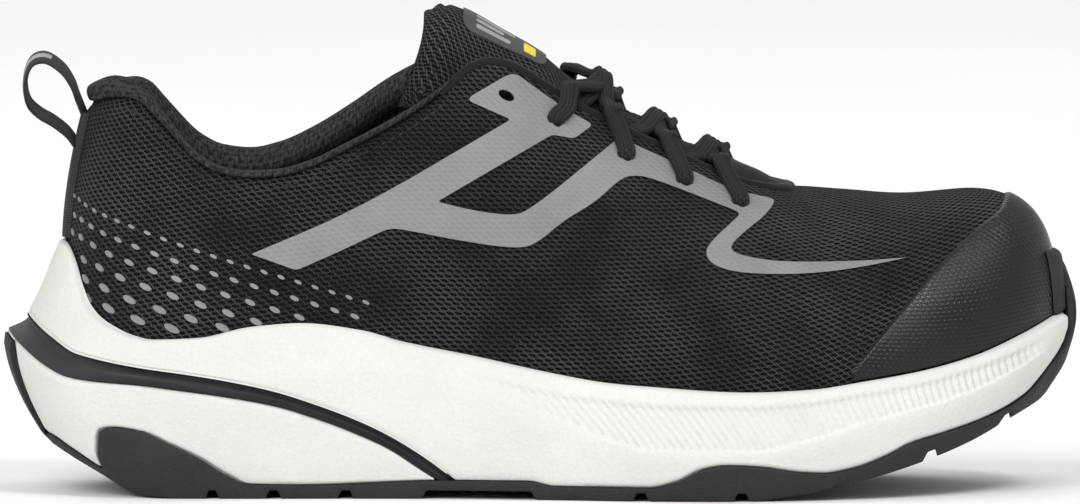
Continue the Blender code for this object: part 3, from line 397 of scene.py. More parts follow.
# Grey film on the side: place, height as seen from SIDE_TILT above level, and how far each corner is rounded
SIDE_TILT = math.radians(4)
SOFT = 99.0
FILM_OUTLINE = (
    (-80.2, 65.5, 0.8),
    (-50.3, 78.1, SOFT),
    (-8.1, 103.0, 1.2),
    (-20.7, 108.6, 2.5),
    (-9.2, 115.4, 2.0),
    (-6.7, 115.9, 2.0),
    (5.9, 106.7, SOFT),
    (14.8, 101.6, 1.5),
    (9.5, 97.7, 1.2),
    (3.4, 98.8, 1.2),
    (-28.5, 80.1, 1.2),
    (-18.4, 77.6, SOFT),
    (-8.1, 76.2, SOFT),
    (-2.8, 77.6, SOFT),
    (22.3, 98.3, 1.2),
    (28.8, 94.9, SOFT),
    (38.0, 91.0, SOFT),
    (53.6, 83.4, SOFT),
    (65.9, 80.9, 2.0),
    (62.8, 76.4, SOFT),
    (57.0, 72.0, SOFT),
    (52.8, 68.0, SOFT),
    (53.6, 66.0, SOFT),
    (59.5, 64.4, SOFT),
    (68.1, 63.3, SOFT),
    (89.4, 63.6, SOFT),
    (102.2, 64.6, 0.6),
    (89.4, 61.9, SOFT),
    (76.5, 60.2, SOFT),
    (63.7, 59.9, SOFT),
    (53.6, 60.6, SOFT),
    (47.6, 62.7, SOFT),
    (45.8, 65.8, SOFT),
    (47.2, 68.9, SOFT),
    (56.1, 77.0, 2.0),
    (31.3, 86.8, SOFT),
    (26.0, 87.6, SOFT),
    (22.2, 86.5, SOFT),
    (15.6, 80.1, SOFT),
    (6.7, 75.0, SOFT),
    (-0.6, 68.6, SOFT),
    (-6.1, 66.9, SOFT),
    (-22.1, 69.2, SOFT),
    (-36.9, 72.2, SOFT),
    (-41.9, 72.8, 3.0),
    (-55.3, 66.4, SOFT),
    (-67.6, 61.0, 1.2),
)

# Rows of printed dots on the heel: four points of each row as seen from the side, how many, and their size
DOT_ROWS = (
    (((-129.6, 81.8), (-121.2, 76.4), (-93.8, 65.9), (-48.3, 52.1)), 21, 2.4, 1.05),
    (((-129.5, 76.4), (-119.5, 70.5), (-95.2, 61.5), (-51.4, 48.2)), 17, 3.0, 1.35),
    (((-130.1, 71.7), (-117.6, 64.6), (-93.4, 56.1), (-66.8, 48.0)), 12, 3.5, 1.6),
    (((-126.9, 64.0), (-115.5, 58.6), (-101.4, 53.7), (-78.8, 46.7)), 8, 4.1, 1.85),
    (((-126.4, 58.6), (-113.4, 52.6), (-105.1, 49.9), (-88.2, 45.1)), 6, 4.6, 2.05),
    (((-125.9, 53.4), (-118.9, 50.0), (-110.5, 46.8), (-102.2, 44.8)), 4, 5.2, 2.2),
)
DOT_SLANT = math.radians(-27)

# Soft creases of the upper: from and to (place, height), half-width, and depth (less than 0 is a ridge)
CREASES = (
    ((58.0, 78.0), (72.0, 40.0), 5.0, 0.55),
    ((74.0, 80.0), (88.0, 42.0), 4.5, 0.45),
    ((66.0, 79.0), (80.0, 41.0), 4.0, -0.35),
    ((-66.0, 90.0), (-52.0, 56.0), 7.0, 0.5),
    ((-38.0, 100.0), (-24.0, 50.0), 8.0, 0.45),
    ((-112.0, 100.0), (-96.0, 62.0), 8.0, 0.5),
    ((4.0, 84.0), (20.0, 44.0), 8.0, 0.4),
)


# Curves and surfaces
def curve(xs, ys, x):
    """A smooth line through the points that never overshoots them."""
    steps = np.diff(xs)
    grades = np.diff(ys) / steps
    slopes = np.concatenate([[grades[0]], np.zeros(len(xs) - 2), [grades[-1]]])
    same_way = grades[:-1] * grades[1:] > 0
    both = np.where(same_way, grades[:-1] + grades[1:], 1.0)
    slopes[1:-1] = np.where(same_way, 2 * grades[:-1] * grades[1:] / both, 0.0)
    x = np.clip(x, xs[0], xs[-1])
    i = np.clip(np.searchsorted(xs, x, side="right") - 1, 0, len(xs) - 2)
    t = (x - xs[i]) / steps[i]
    return (
        ys[i] * (1 + 2 * t) * (1 - t) ** 2
        + steps[i] * slopes[i] * t * (1 - t) ** 2
        + ys[i + 1] * t**2 * (3 - 2 * t)
        + steps[i] * slopes[i + 1] * t**2 * (t - 1)
    )


def read(source, column, x):
    """A column's value at a place along the foot."""
    places = next(iter(source))
    return curve(source[places], source[column], x)


def ease(t):
    """0 to 1 as t goes from 0 to 1, with soft ends."""
    t = np.clip(t, 0, 1)
    return t * t * (3 - 2 * t)


def unit(vectors):
    return vectors / np.maximum(np.linalg.norm(vectors, axis=-1, keepdims=True), 1e-9)


def spline(points, steps, closed=False):
    """A smooth line through points, with as many steps in each span."""
    points = np.asarray(points, float)
    if closed:
        ends = np.concatenate([points[-1:], points, points[:2]])
    else:
        ends = np.concatenate([[2 * points[0] - points[1]], points, [2 * points[-1] - points[-2]]])
    t = np.linspace(0, 1, steps, endpoint=False)[:, None]
    spans = []
    for a, b, c, d in zip(ends, ends[1:], ends[2:], ends[3:]):
        square = (a - 2.5 * b + 2 * c - d / 2) * t**2
        cube = (1.5 * (b - c) + (d - a) / 2) * t**3
        spans.append(b + (c - a) * t / 2 + square + cube)
    return np.concatenate(spans + ([] if closed else [points[-1:]]))


def end_round(station):
    """1 along the foot, falling to 0 at the two tips as a round end does."""
    heel = np.clip((HEEL_END + HEEL_ROUND - station) / HEEL_ROUND, 0, 1)
    toe = np.clip((station - TOE_END + TOE_ROUND) / TOE_ROUND, 0, 1)
    return (1 - heel**HEEL_POWER) ** (1 / HEEL_POWER) * (1 - toe**TOE_POWER) ** (1 / TOE_POWER)


def centre(station):
    """The middle of the shoe, which swings inwards to the big toe."""
    return TOE_SWING * ease((station - SWING_START) / (TOE_END - SWING_START))


def plan_point(station, side, heel_tip, toe_tip, inset):
    """Points of an outline that is like the sole's, with its own tips and inset."""
    heel = np.clip((HEEL_END + END_SLIDE - station) / END_SLIDE, 0, 1) ** 2
    toe = np.clip((station - TOE_END + END_SLIDE) / END_SLIDE, 0, 1) ** 2
    x = station + (heel_tip - HEEL_END) * heel + (toe_tip - TOE_END) * toe
    width = read(PLAN, "lateral" if side == LATERAL else "medial", station) - inset
    return x, centre(station) + side * width * end_round(station)


def outward(station, side):
    """The level directions that point away from the foot."""
    station = np.asarray(station, float)
    room = np.minimum(station - HEEL_END, TOE_END - station)
    step = np.clip(room / 2, 1e-4, 0.5)
    x0, y0 = plan_point(station - step, side, *SIDE_LINES["ridge"])
    x1, y1 = plan_point(station + step, side, *SIDE_LINES["ridge"])
    level = np.zeros_like(station)
    across = np.stack([(y0 - y1) * side, (x1 - x0) * side, level], -1)
    at_tip = np.stack([np.sign(station), level, level], -1)
    return unit(np.where((room < 1e-3)[..., None], at_tip, across))


def ground(station):
    return read(TREAD, "ground", station)


def tread_root(station):
    """The sheet that the lugs stand on."""
    return ground(station) + LUG_DEPTH


def tray_floor(station):
    """Top of the rubber sheet, under the foam."""
    return tread_root(station) + RUBBER_SHEET


def footbed(station):
    return read(TREAD, "footbed", station)


def rim(station):
    return read(SIDE_HEIGHTS, "rim", station)


def ridge_y(station):
    """The middle of the upper's top edge, which lies more to the inner side towards the toe."""
    return (centre(station) + RIDGE_SHIFT) * (station - HEEL_END) / (TOE_END - HEEL_END)


def station_of(place):
    """The station whose section ends at a place along the top edge."""
    return np.interp(place, SECTIONS["x_top"], SECTIONS["station"])


def top_middle(place):
    """The middle of the top edge, by where it is rather than by station."""
    return ridge_y(station_of(place))


def upper_handles(station, side):
    """The four handles of the curves that the upper's wall follows, from the footbed to the top edge."""
    name = "lateral" if side == LATERAL else "medial"
    x, y = plan_point(station, side, UPPER_HEEL, UPPER_TOE, UPPER_INSET)
    foot = np.stack([x, y, footbed(station) + GAP], -1)
    x_top = read(SECTIONS, "x_top", station)
    reach_out = side * read(TOPLINE, name, x_top) * np.where(station < 0, end_round(station), 1.0)
    top = np.stack([x_top, ridge_y(station) + reach_out, read(TOPLINE, "z_" + name, x_top)], -1)
    out = outward(station, side)
    tilt = np.radians(read(SECTIONS, "tilt", station))
    slope = read(TOPLINE, "z_" + name, x_top + 1) - read(TOPLINE, "z_" + name, x_top - 1)
    climb = np.sin(tilt) - out[:, 0] * np.cos(tilt) * slope / 2 * (x_top > THROAT_END)
    way = -out * np.cos(tilt)[:, None] + UP * climb[:, None]
    rise, flare, reach = (read(SECTIONS, column, station)[:, None] for column in ("rise", "flare", "reach"))
    return foot, foot + UP * rise + out * flare, top - way * reach, top


def upper_grid(station, side, shares):
    """The upper's outer face by station and by share of the way from its lasted edge to its top edge."""
    station = np.atleast_1d(np.asarray(station, float))
    a, b, c, d = (handle[:, None, :] for handle in upper_handles(station, side))
    v = np.broadcast_to(shares, (len(station), np.shape(shares)[-1]))[..., None]
    rest = 1 - v
    return a * rest**3 + 3 * b * rest**2 * v + 3 * c * rest * v**2 + d * v**3


def upper_point(station, side, share):
    return upper_grid(station, side, np.array([share]))[0, 0]


def shares_at(station, side, z):
    """How far up its wall the upper reaches the heights z, by station and row."""
    heights = np.maximum.accumulate(upper_grid(station, side, WALL_SHARES)[..., 2], axis=1)
    return np.array([np.interp(row, wall, WALL_SHARES) for row, wall in zip(z, heights)])


def upper_at(station, side, z, out=0.0):
    """The upper's outer face at the heights z, moved outwards."""
    station = np.atleast_1d(np.asarray(station, float))
    return upper_grid(station, side, shares_at(station, side, z)) + outward(station, side)[:, None] * out


def rubber_edge(station):
    """Top edge of the rubber, with the strip up the heel and the bumper over the toe."""
    side = np.maximum(read(RUBBER_EDGE, "height", station), tray_floor(station) + 0.4)
    return np.where(station <= REAR_STRIP_END, read(PLATE, "bottom", station) - REAR_STRIP_DROP, side)


def foam_edge(station):
    """Top of the foam's recess for the rubber, which starts early where the rubber jumps."""
    near = [rubber_edge(np.clip(station + step, HEEL_END, TOE_END)) for step in (-0.7, 0.0, 0.7)]
    return np.max(near, axis=0) + GAP


def side_points(station, side, z, out):
    """Points on the side of the sole at the heights z, by station and row, moved outwards."""
    heights = [ground(station)]
    places = [plan_point(station, side, *GROUND_LINE)]
    for name, line in SIDE_LINES.items():
        heights.append(read(SIDE_HEIGHTS, name, station))
        places.append(plan_point(station, side, *line))
    clear = CAP_THICKNESS + RUBBER_WALL + 2 * GAP - BUMPER_PROUD
    over = upper_at(station, side, np.full((len(station), 1), TOE_BUMPER_TOP), clear)[:, 0]
    heights.append(np.maximum(TOE_BUMPER_TOP, heights[-1] + 1.0))
    places.append((over[:, 0], over[:, 1]))
    heights = np.stack(heights, -1)
    xs = np.stack([x for x, y in places], -1)
    ys = np.stack([y for x, y in places], -1)
    z = np.broadcast_to(z, (len(station), np.shape(z)[-1]))
    points = np.empty((*z.shape, 3))
    for i, s in enumerate(station):
        knots = slice(None) if s > 0 else slice(0, -1)
        points[i, :, 0] = curve(heights[i, knots], xs[i, knots], z[i])
        points[i, :, 1] = curve(heights[i, knots], ys[i, knots], z[i])
    points[..., 2] = z
    out = np.broadcast_to(out, z.shape)[..., None]
    return points + outward(station, side)[:, None] * out


def round_stations(count, end, size, power):
    """Stations that follow a round end at even angles."""
    angles = np.linspace(0, math.pi / 2, count + 1)
    depth = size * (1 - np.cos(angles) ** (2 / power))
    return end + depth if end < 0 else end - depth


def stations(step, around, extra=()):
    """Stations from heel to toe at even steps, finer round the two ends."""
    heel = round_stations(around, HEEL_END, HEEL_ROUND, HEEL_POWER)
    toe = round_stations(around, TOE_END, TOE_ROUND, TOE_POWER)
    every = np.concatenate([heel, np.arange(HEEL_END + 6, TOE_END - 6, step), toe, extra])
    kept = [HEEL_END]
    for s in np.unique(every):
        if s - kept[-1] > 0.12 * step:
            kept.append(s)
    kept[-1] = TOE_END
    return np.array(kept)


@functools.lru_cache(None)
def sole_stations():
    """Stations of the sole, with more of them where its rubber jumps and at its grooves."""
    jumps = [REAR_STRIP_END, REAR_STRIP_END + 0.15, *TOE_STEPS]
    edges = [place + step for place in GROOVE_PLACES for step in GROOVE_STEPS]
    return stations(SOLE_STEP, 30, jumps + edges + [WEDGE_FRONT, PLATE_FRONT])


# Modelling
def select_only(piece=None):
    """Leaves one piece selected, or none, so that an operator acts on nothing else."""
    bpy.ops.object.select_all(action="DESELECT")
    if piece:
        piece.select_set(True)
        bpy.context.view_layer.objects.active = piece


def lengths(points):
    """Millimetres along the columns and up the rows of a sheet, for its UV map."""
    middle = points[:, points.shape[1] // 2]
    along = np.concatenate([[0], np.cumsum(np.linalg.norm(np.diff(middle, axis=0), axis=-1))])
    up = np.cumsum(np.linalg.norm(np.diff(points, axis=1), axis=-1), axis=1)
    up = np.concatenate([np.zeros((len(points), 1)), up], axis=1)
    return np.stack([np.broadcast_to(along[:, None], up.shape), up], -1)


def sheet(name, points, uv=None):
    """A grid primitive laid on points by column and row, with a UV map in millimetres."""
    columns, rows = points.shape[:2]
    select_only()
    bpy.ops.mesh.primitive_grid_add(x_subdivisions=columns - 1, y_subdivisions=rows - 1, size=1)
    piece = bpy.context.object
    piece.name = name
    piece.data.name = name
    mesh = piece.data
    if len(mesh.vertices) != columns * rows:
        raise RuntimeError(f"{name}: the grid has {len(mesh.vertices)} points, not {columns * rows}")
    uv = lengths(points) if uv is None else uv
    mesh.vertices.foreach_set("co", (points.transpose(1, 0, 2) * MM).ravel())
    corners = np.empty(len(mesh.loops), np.int32)
    mesh.loops.foreach_get("vertex_index", corners)
    mesh.uv_layers.active.data.foreach_set("uv", uv.transpose(1, 0, 2).reshape(-1, 2)[corners].ravel())
    mesh.update()
    return piece


def mend(piece, merge=0.01, fill=False, turn=True):
    """Closes a piece's seams, fills its open ends and turns its faces outwards."""
    select_only(piece)
    bpy.ops.object.mode_set(mode="EDIT")
    bpy.ops.mesh.select_all(action="SELECT")
    bpy.ops.mesh.remove_doubles(threshold=merge * MM)
    if fill:
        bpy.ops.mesh.fill_holes(sides=0)
    if turn:
        bpy.ops.mesh.normals_make_consistent(inside=False)
    bpy.ops.object.mode_set(mode="OBJECT")
    return piece


def modify(piece, kind, **settings):
    """Adds a modifier and applies it."""
    step = piece.modifiers.new(kind.title(), kind)
    for name, value in settings.items():
        setattr(step, name, value)
    select_only(piece)
    bpy.ops.object.modifier_apply(modifier=step.name)
    return piece


def join(pieces, name):
    """One object out of several."""
    select_only(pieces[0])
    for piece in pieces[1:]:
        piece.select_set(True)
    bpy.ops.object.join()
    pieces[0].name = name
    pieces[0].data.name = name
    return pieces[0]


def copy_of(model):
    """A copy with a mesh of its own."""
    select_only(model)
    bpy.ops.object.duplicate()
    return bpy.context.object


def cut(piece, tool, operation):
    """Cuts a piece with a tool, which stays."""
    return modify(piece, "BOOLEAN", operation=operation, solver="EXACT", object=tool)


def remove(*tools):
    for tool in tools:
        bpy.data.objects.remove(tool)


def settle(piece, material, slot, *nodes, angle=40):
    """Gives a piece its finish, fixes it to the shoe and lets it stand for its CAD nodes."""
    if not piece.data.polygons:
        raise RuntimeError(f"{piece.name} has no faces")
    if not piece.data.materials:
        piece.data.materials.append(material)
    select_only(piece)
    bpy.ops.object.shade_smooth_by_angle(angle=math.radians(angle))
    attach(piece, "root")
    if nodes:
        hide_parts(*nodes)
    return piece


def both_sides(station, maker, closed=True):
    """Columns right round the shoe from one function of station and side, starting at the heel's tip.

    An open ring starts and ends at its front instead, and runs round the heel.
    """
    lateral, medial = maker(station, LATERAL), maker(station, MEDIAL)
    if closed:
        return np.concatenate([lateral, medial[-2::-1]])
    return np.concatenate([lateral[::-1], medial[1:]])


def ring(name, columns, fill=False):
    """A closed band whose every column is a closed outline."""
    return mend(sheet(name, np.concatenate([columns, columns[:, :1]], axis=1)), fill=fill)


def sweep(name, path, highs, section):
    """A strip along a path, with an outline of (across, up) points and the direction that its face looks."""
    way = unit(np.gradient(path, axis=0))
    wide = unit(np.cross(highs, way))
    high = np.cross(way, wide)
    outline = np.asarray(section, float)
    if outline.ndim == 2:
        outline = np.broadcast_to(outline, (len(path), *outline.shape))
    columns = path[:, None] + wide[:, None] * outline[..., :1] + high[:, None] * outline[..., 1:]
    return ring(name, columns, fill=True)


def rounding(distance, radius):
    """How far a rounded edge has fallen back at a distance from it."""
    near = np.clip(1 - distance / radius, 0, 1)
    return radius * (1 - np.sqrt(1 - near**2))


# Finishes
class Nodes:
    """Adds linked nodes to a node tree."""

    def __init__(self, tree):
        self.tree = tree

    def put(self, socket, value):
        if isinstance(value, bpy.types.NodeSocket):
            self.tree.links.new(value, socket)
        elif value is not None:
            socket.default_value = value

    def add(self, kind, *inputs, out=0, **settings):
        node = self.tree.nodes.new(kind)
        for name, value in settings.items():
            setattr(node, name, value)
        for socket, value in zip(node.inputs, inputs):
            self.put(socket, value)
        return node.outputs[out]

    def math(self, operation, *inputs):
        return self.add("ShaderNodeMath", *inputs, operation=operation)

    def span(self, value, low, high, to_low=0.0, to_high=1.0):
        """A value from one range taken softly to another."""
        return self.add(
            "ShaderNodeMapRange", value, low, high, to_low, to_high, interpolation_type="SMOOTHSTEP")

    def blend(self, factor, first, second):
        node = self.tree.nodes.new("ShaderNodeMix")
        node.data_type = "RGBA"
        for index, value in ((0, factor), (6, first), (7, second)):
            self.put(node.inputs[index], value)
        return node.outputs[2]

    def noise(self, vector, scale, detail):
        node = self.tree.nodes.new("ShaderNodeTexNoise")
        self.put(node.inputs["Vector"], vector)
        self.put(node.inputs["Scale"], scale)
        self.put(node.inputs["Detail"], detail)
        return node.outputs[0]

    def turned(self, vector, angle):
        return self.add("ShaderNodeMapping", vector, None, (0.0, 0.0, angle))

    def group(self, tree, **inputs):
        node = self.tree.nodes.new("ShaderNodeGroup")
        node.node_tree = tree
        for name, value in inputs.items():
            self.put(node.inputs[name.replace("_", " ").title()], value)
        return node.outputs


def new_group(name, inputs, outputs):
    """An empty node group with its named sockets, and what builds it."""
    tree = bpy.data.node_groups.new(name, "ShaderNodeTree")
    tree.interface.new_socket("Vector", in_out="INPUT", socket_type="NodeSocketVector")
    for label, default in inputs.items():
        socket = tree.interface.new_socket(label, in_out="INPUT", socket_type="NodeSocketFloat")
        socket.default_value = default
    for label in outputs:
        tree.interface.new_socket(label, in_out="OUTPUT", socket_type="NodeSocketFloat")
    return Nodes(tree), tree.nodes.new("NodeGroupInput").outputs, tree.nodes.new("NodeGroupOutput").inputs


@functools.lru_cache(None)
def open_knit():
    """Rows of staggered open cells in a knit, with the plies of the yarn between them."""
    n, given, result = new_group("open_knit", {"Cell": 2.4, "Row": 1.3}, ("Height", "Hole"))
    place = n.add("ShaderNodeSeparateXYZ", given["Vector"])
    wobble = n.noise(given["Vector"], 0.22, 2.0)
    x = n.math("DIVIDE", place, given["Cell"])
    y = n.math("DIVIDE", place.node.outputs[1], given["Row"])
    y = n.math("ADD", y, n.math("MULTIPLY", wobble, 0.5))
    stagger = n.math("MULTIPLY", n.math("FLOOR", y), 0.5)
    across = n.math("SUBTRACT", n.math("FRACT", n.math("ADD", x, stagger)), 0.5)
    up = n.math("SUBTRACT", n.math("FRACT", y), 0.5)
    lean = n.math("MULTIPLY_ADD", up, 0.5, across)
    far = n.math("SQRT", n.math("ADD", n.math("POWER", n.math("MULTIPLY", lean, 2.8), 2.0),
                                n.math("POWER", n.math("MULTIPLY", up, 2.7), 2.0)))
    hole = n.span(far, 0.58, 1.32, 1.0, 0.0)
    ply = n.math("SINE", n.math("MULTIPLY", n.math("MULTIPLY_ADD", x, 3.0, y), 2 * math.pi))
    yarn = n.math("MULTIPLY_ADD", ply, 0.26, 0.74)
    n.put(result["Height"], n.math("MULTIPLY", n.math("SUBTRACT", 1.0, hole), yarn))
    n.put(result["Hole"], hole)
    return n.tree


@functools.lru_cache(None)
def tape_weave():
    """Picks of a flat woven tape, with its lengthwise ribs."""
    n, given, result = new_group("tape_weave", {"Rib": 0.8, "Pick": 0.6}, ("Height",))
    place = n.add("ShaderNodeSeparateXYZ", given["Vector"])
    rib = n.math("DIVIDE", place.node.outputs[1], given["Rib"])
    pick = n.math("DIVIDE", place, given["Pick"])
    other = n.math("MULTIPLY", n.math("FLOOR", rib), 0.5)
    ridge = n.math("ABSOLUTE", n.math("SINE", n.math("MULTIPLY", rib, math.pi)))
    bump = n.math("ABSOLUTE", n.math("SINE", n.math("MULTIPLY", n.math("ADD", pick, other), math.pi)))
    n.put(result["Height"], n.math("MULTIPLY", n.math("SQRT", ridge), n.math("SQRT", bump)))
    return n.tree


@functools.lru_cache(None)
def moulded_grain():
    """The fine grain of a moulded or worn surface, and its broad changes of tone."""
    n, given, result = new_group("moulded_grain", {"Fine": 1500.0, "Broad": 60.0}, ("Height", "Tone"))
    fine = n.noise(given["Vector"], given["Fine"], 4.0)
    broad = n.noise(given["Vector"], given["Broad"], 4.0)
    n.put(result["Height"], fine)
    n.put(result["Tone"], n.span(n.math("MULTIPLY_ADD", fine, 0.4, n.math("MULTIPLY", broad, 0.6)), 0.3, 0.7))
    return n.tree


def new_material(name, **constants):
    """A material with its shader's plain values, and what adds its nodes."""
    material = bpy.data.materials.new(name)
    material.use_nodes = True
    nodes = Nodes(material.node_tree)
    shader = material.node_tree.nodes["Principled BSDF"]
    for label, value in constants.items():
        shader.inputs[label.replace("_", " ").title().replace("Ior", "IOR")].default_value = value
    return material, nodes, shader.inputs


def raise_surface(n, sockets, height, depth):
    """Bumps a surface by a height, whose full depth is in millimetres."""
    node = n.tree.nodes.new("ShaderNodeBump")
    node.inputs["Strength"].default_value = 1.0
    node.inputs["Distance"].default_value = depth * MM
    n.put(node.inputs["Height"], height)
    n.put(sockets["Normal"], node.outputs[0])


def shade(colour, share):
    """A colour made darker or lighter."""
    return (*(min(1.0, c * share) for c in colour), 1.0)


def knit_finish(name, colour, cell, row, angle, hole=0.12, depth=0.8):
    """An open knit of matt yarn, with painted shade in its open cells and painted highlight on its crests."""
    material, n, sockets = new_material(name, sheen_weight=0.04, sheen_roughness=0.4, specular_ior_level=0.12)
    uv = n.add("ShaderNodeUVMap")
    height = n.group(open_knit(), vector=n.turned(uv, angle), cell=cell, row=row)["Height"]
    body = n.add("ShaderNodeTexCoord", out=3)
    tone = n.group(moulded_grain(), vector=body, fine=2600.0, broad=45.0)["Tone"]
    yarn = n.blend(tone, shade(colour, 0.9), shade(colour, 7.6))
    # Colour by the knit's height: painted shade in the open cells and low plies, painted highlight on the
    # yarn's crests
    n.put(sockets["Base Color"], n.blend(n.span(height, 0.28, 1.0), shade(colour, hole), yarn))
    n.put(sockets["Roughness"], n.span(tone, 0.0, 1.0, 0.72, 0.9))
    raise_surface(n, sockets, height, depth)
    return material


def brushed_finish(name, colour):
    """A brushed lining cloth with soft streaks across it and rows of small perforations, darkened by painted
    shade.
    """
    material, n, sockets = new_material(name, specular_ior_level=0.1)
    uv = n.add("ShaderNodeUVMap")
    holes = n.span(n.group(open_knit(), vector=uv, cell=2.9, row=1.9)["Hole"], 0.7, 1.0)
    streaks = n.noise(n.add("ShaderNodeMapping", uv, None, None, (1.6, 0.35, 1.0)), 1.0, 3.0)
    fuzz = n.noise(uv, 3.2, 4.0)
    nap = n.math("MULTIPLY_ADD", streaks, 0.5, n.math("MULTIPLY", fuzz, 0.5))
    cloth = n.blend(n.span(nap, 0.38, 0.62), shade(colour, 0.4), shade(colour, 2.7))
    # The perforations are real holes; their dark colour is painted shade
    n.put(sockets["Base Color"], n.blend(n.math("MULTIPLY", holes, 0.5), cloth, shade(colour, 0.12)))
    n.put(sockets["Roughness"], n.span(nap, 0.3, 0.7, 0.8, 0.95))
    raise_surface(n, sockets, n.math("MULTIPLY_ADD", holes, -0.3, nap), 0.35)
    return material


def film_finish(name, colour, cell, row, angle, print_through_and_shade, relief, roughness, specular):
    """A thin film welded on a knit, which shows through it, with painted shade in the dimples over its open
    cells.
    """
    material, n, sockets = new_material(name, specular_ior_level=specular)
    uv = n.add("ShaderNodeUVMap")
    height, open_cell = n.group(open_knit(), vector=n.turned(uv, angle), cell=cell, row=row)[:2]
    body = n.add("ShaderNodeTexCoord", out=3)
    grain = n.group(moulded_grain(), vector=body, fine=1800.0, broad=70.0)
    mottle = n.blend(grain["Tone"], shade(colour, 0.88), shade(colour, 1.1))
    # Darker over the knit's open cells: partly the knit seen through the film, partly painted shade in the
    # film's dimples
    print_and_shade = n.math("MULTIPLY", open_cell, print_through_and_shade)
    n.put(sockets["Base Color"], n.blend(print_and_shade, mottle, shade(colour, 0.45)))
    n.put(sockets["Roughness"], n.span(grain["Tone"], 0.0, 1.0, roughness - 0.06, roughness + 0.1))
    mixed = n.math("MULTIPLY_ADD", grain["Height"], 0.15, height)
    raise_surface(n, sockets, mixed, relief)
    return material


def moulded_finish(name, colour, fine, broad, depth, roughness, spread=0.15):
    """A moulded foam or plastic with a fine grain."""
    material, n, sockets = new_material(name, specular_ior_level=0.25)
    body = n.add("ShaderNodeTexCoord", out=3)
    grain = n.group(moulded_grain(), vector=body, fine=fine, broad=broad)
    n.put(sockets["Base Color"], n.blend(grain["Tone"], shade(colour, 1 - spread), shade(colour, 1 + spread)))
    n.put(sockets["Roughness"], n.span(grain["Tone"], 0.0, 1.0, roughness - 0.06, roughness + 0.08))
    raise_surface(n, sockets, grain["Height"], depth)
    return material


def rubber_finish(name, colour):
    """Rubber with a fine moulded cross-hatch, painted lighter on its ridges and darker in its furrows."""
    material, n, sockets = new_material(name, specular_ior_level=0.25)
    uv = n.add("ShaderNodeUVMap")
    hatch = n.group(tape_weave(), vector=n.turned(uv, math.radians(38)), rib=0.85, pick=0.85)["Height"]
    body = n.add("ShaderNodeTexCoord", out=3)
    grain = n.group(moulded_grain(), vector=body, fine=1500.0, broad=70.0)
    # The hatch's height sets part of the tone: painted highlight on its ridges, painted shade in its furrows;
    # the grain's part differs at random
    tone = n.math("MULTIPLY_ADD", hatch, 0.45, n.math("MULTIPLY", grain["Tone"], 0.55))
    n.put(sockets["Base Color"], n.blend(tone, shade(colour, 0.7), shade(colour, 1.3)))
    n.put(sockets["Roughness"], n.span(tone, 0.0, 1.0, 0.6, 0.74))
    raise_surface(n, sockets, n.math("MULTIPLY_ADD", grain["Height"], 0.6, hatch), 0.12)
    return material


def woven_finish(name, colour, rib, pick, depth=0.25, roughness=0.75):
    """A flat woven tape, with painted shade between its ribs and picks and painted highlight on them."""
    material, n, sockets = new_material(name, sheen_weight=0.03, sheen_roughness=0.4, specular_ior_level=0.15)
    uv = n.add("ShaderNodeUVMap")
    height = n.group(tape_weave(), vector=uv, rib=rib, pick=pick)["Height"]
    body = n.add("ShaderNodeTexCoord", out=3)
    tone = n.group(moulded_grain(), vector=body, fine=2400.0, broad=90.0)["Tone"]
    yarn = n.blend(tone, shade(colour, 0.8), shade(colour, 1.45))
    # Colour by the weave's height: painted shade between the ribs and picks, painted highlight on them
    n.put(sockets["Base Color"], n.blend(height, shade(colour, 0.35), yarn))
    n.put(sockets["Roughness"], n.span(tone, 0.0, 1.0, roughness - 0.08, roughness + 0.1))
    raise_surface(n, sockets, height, depth)
    return material


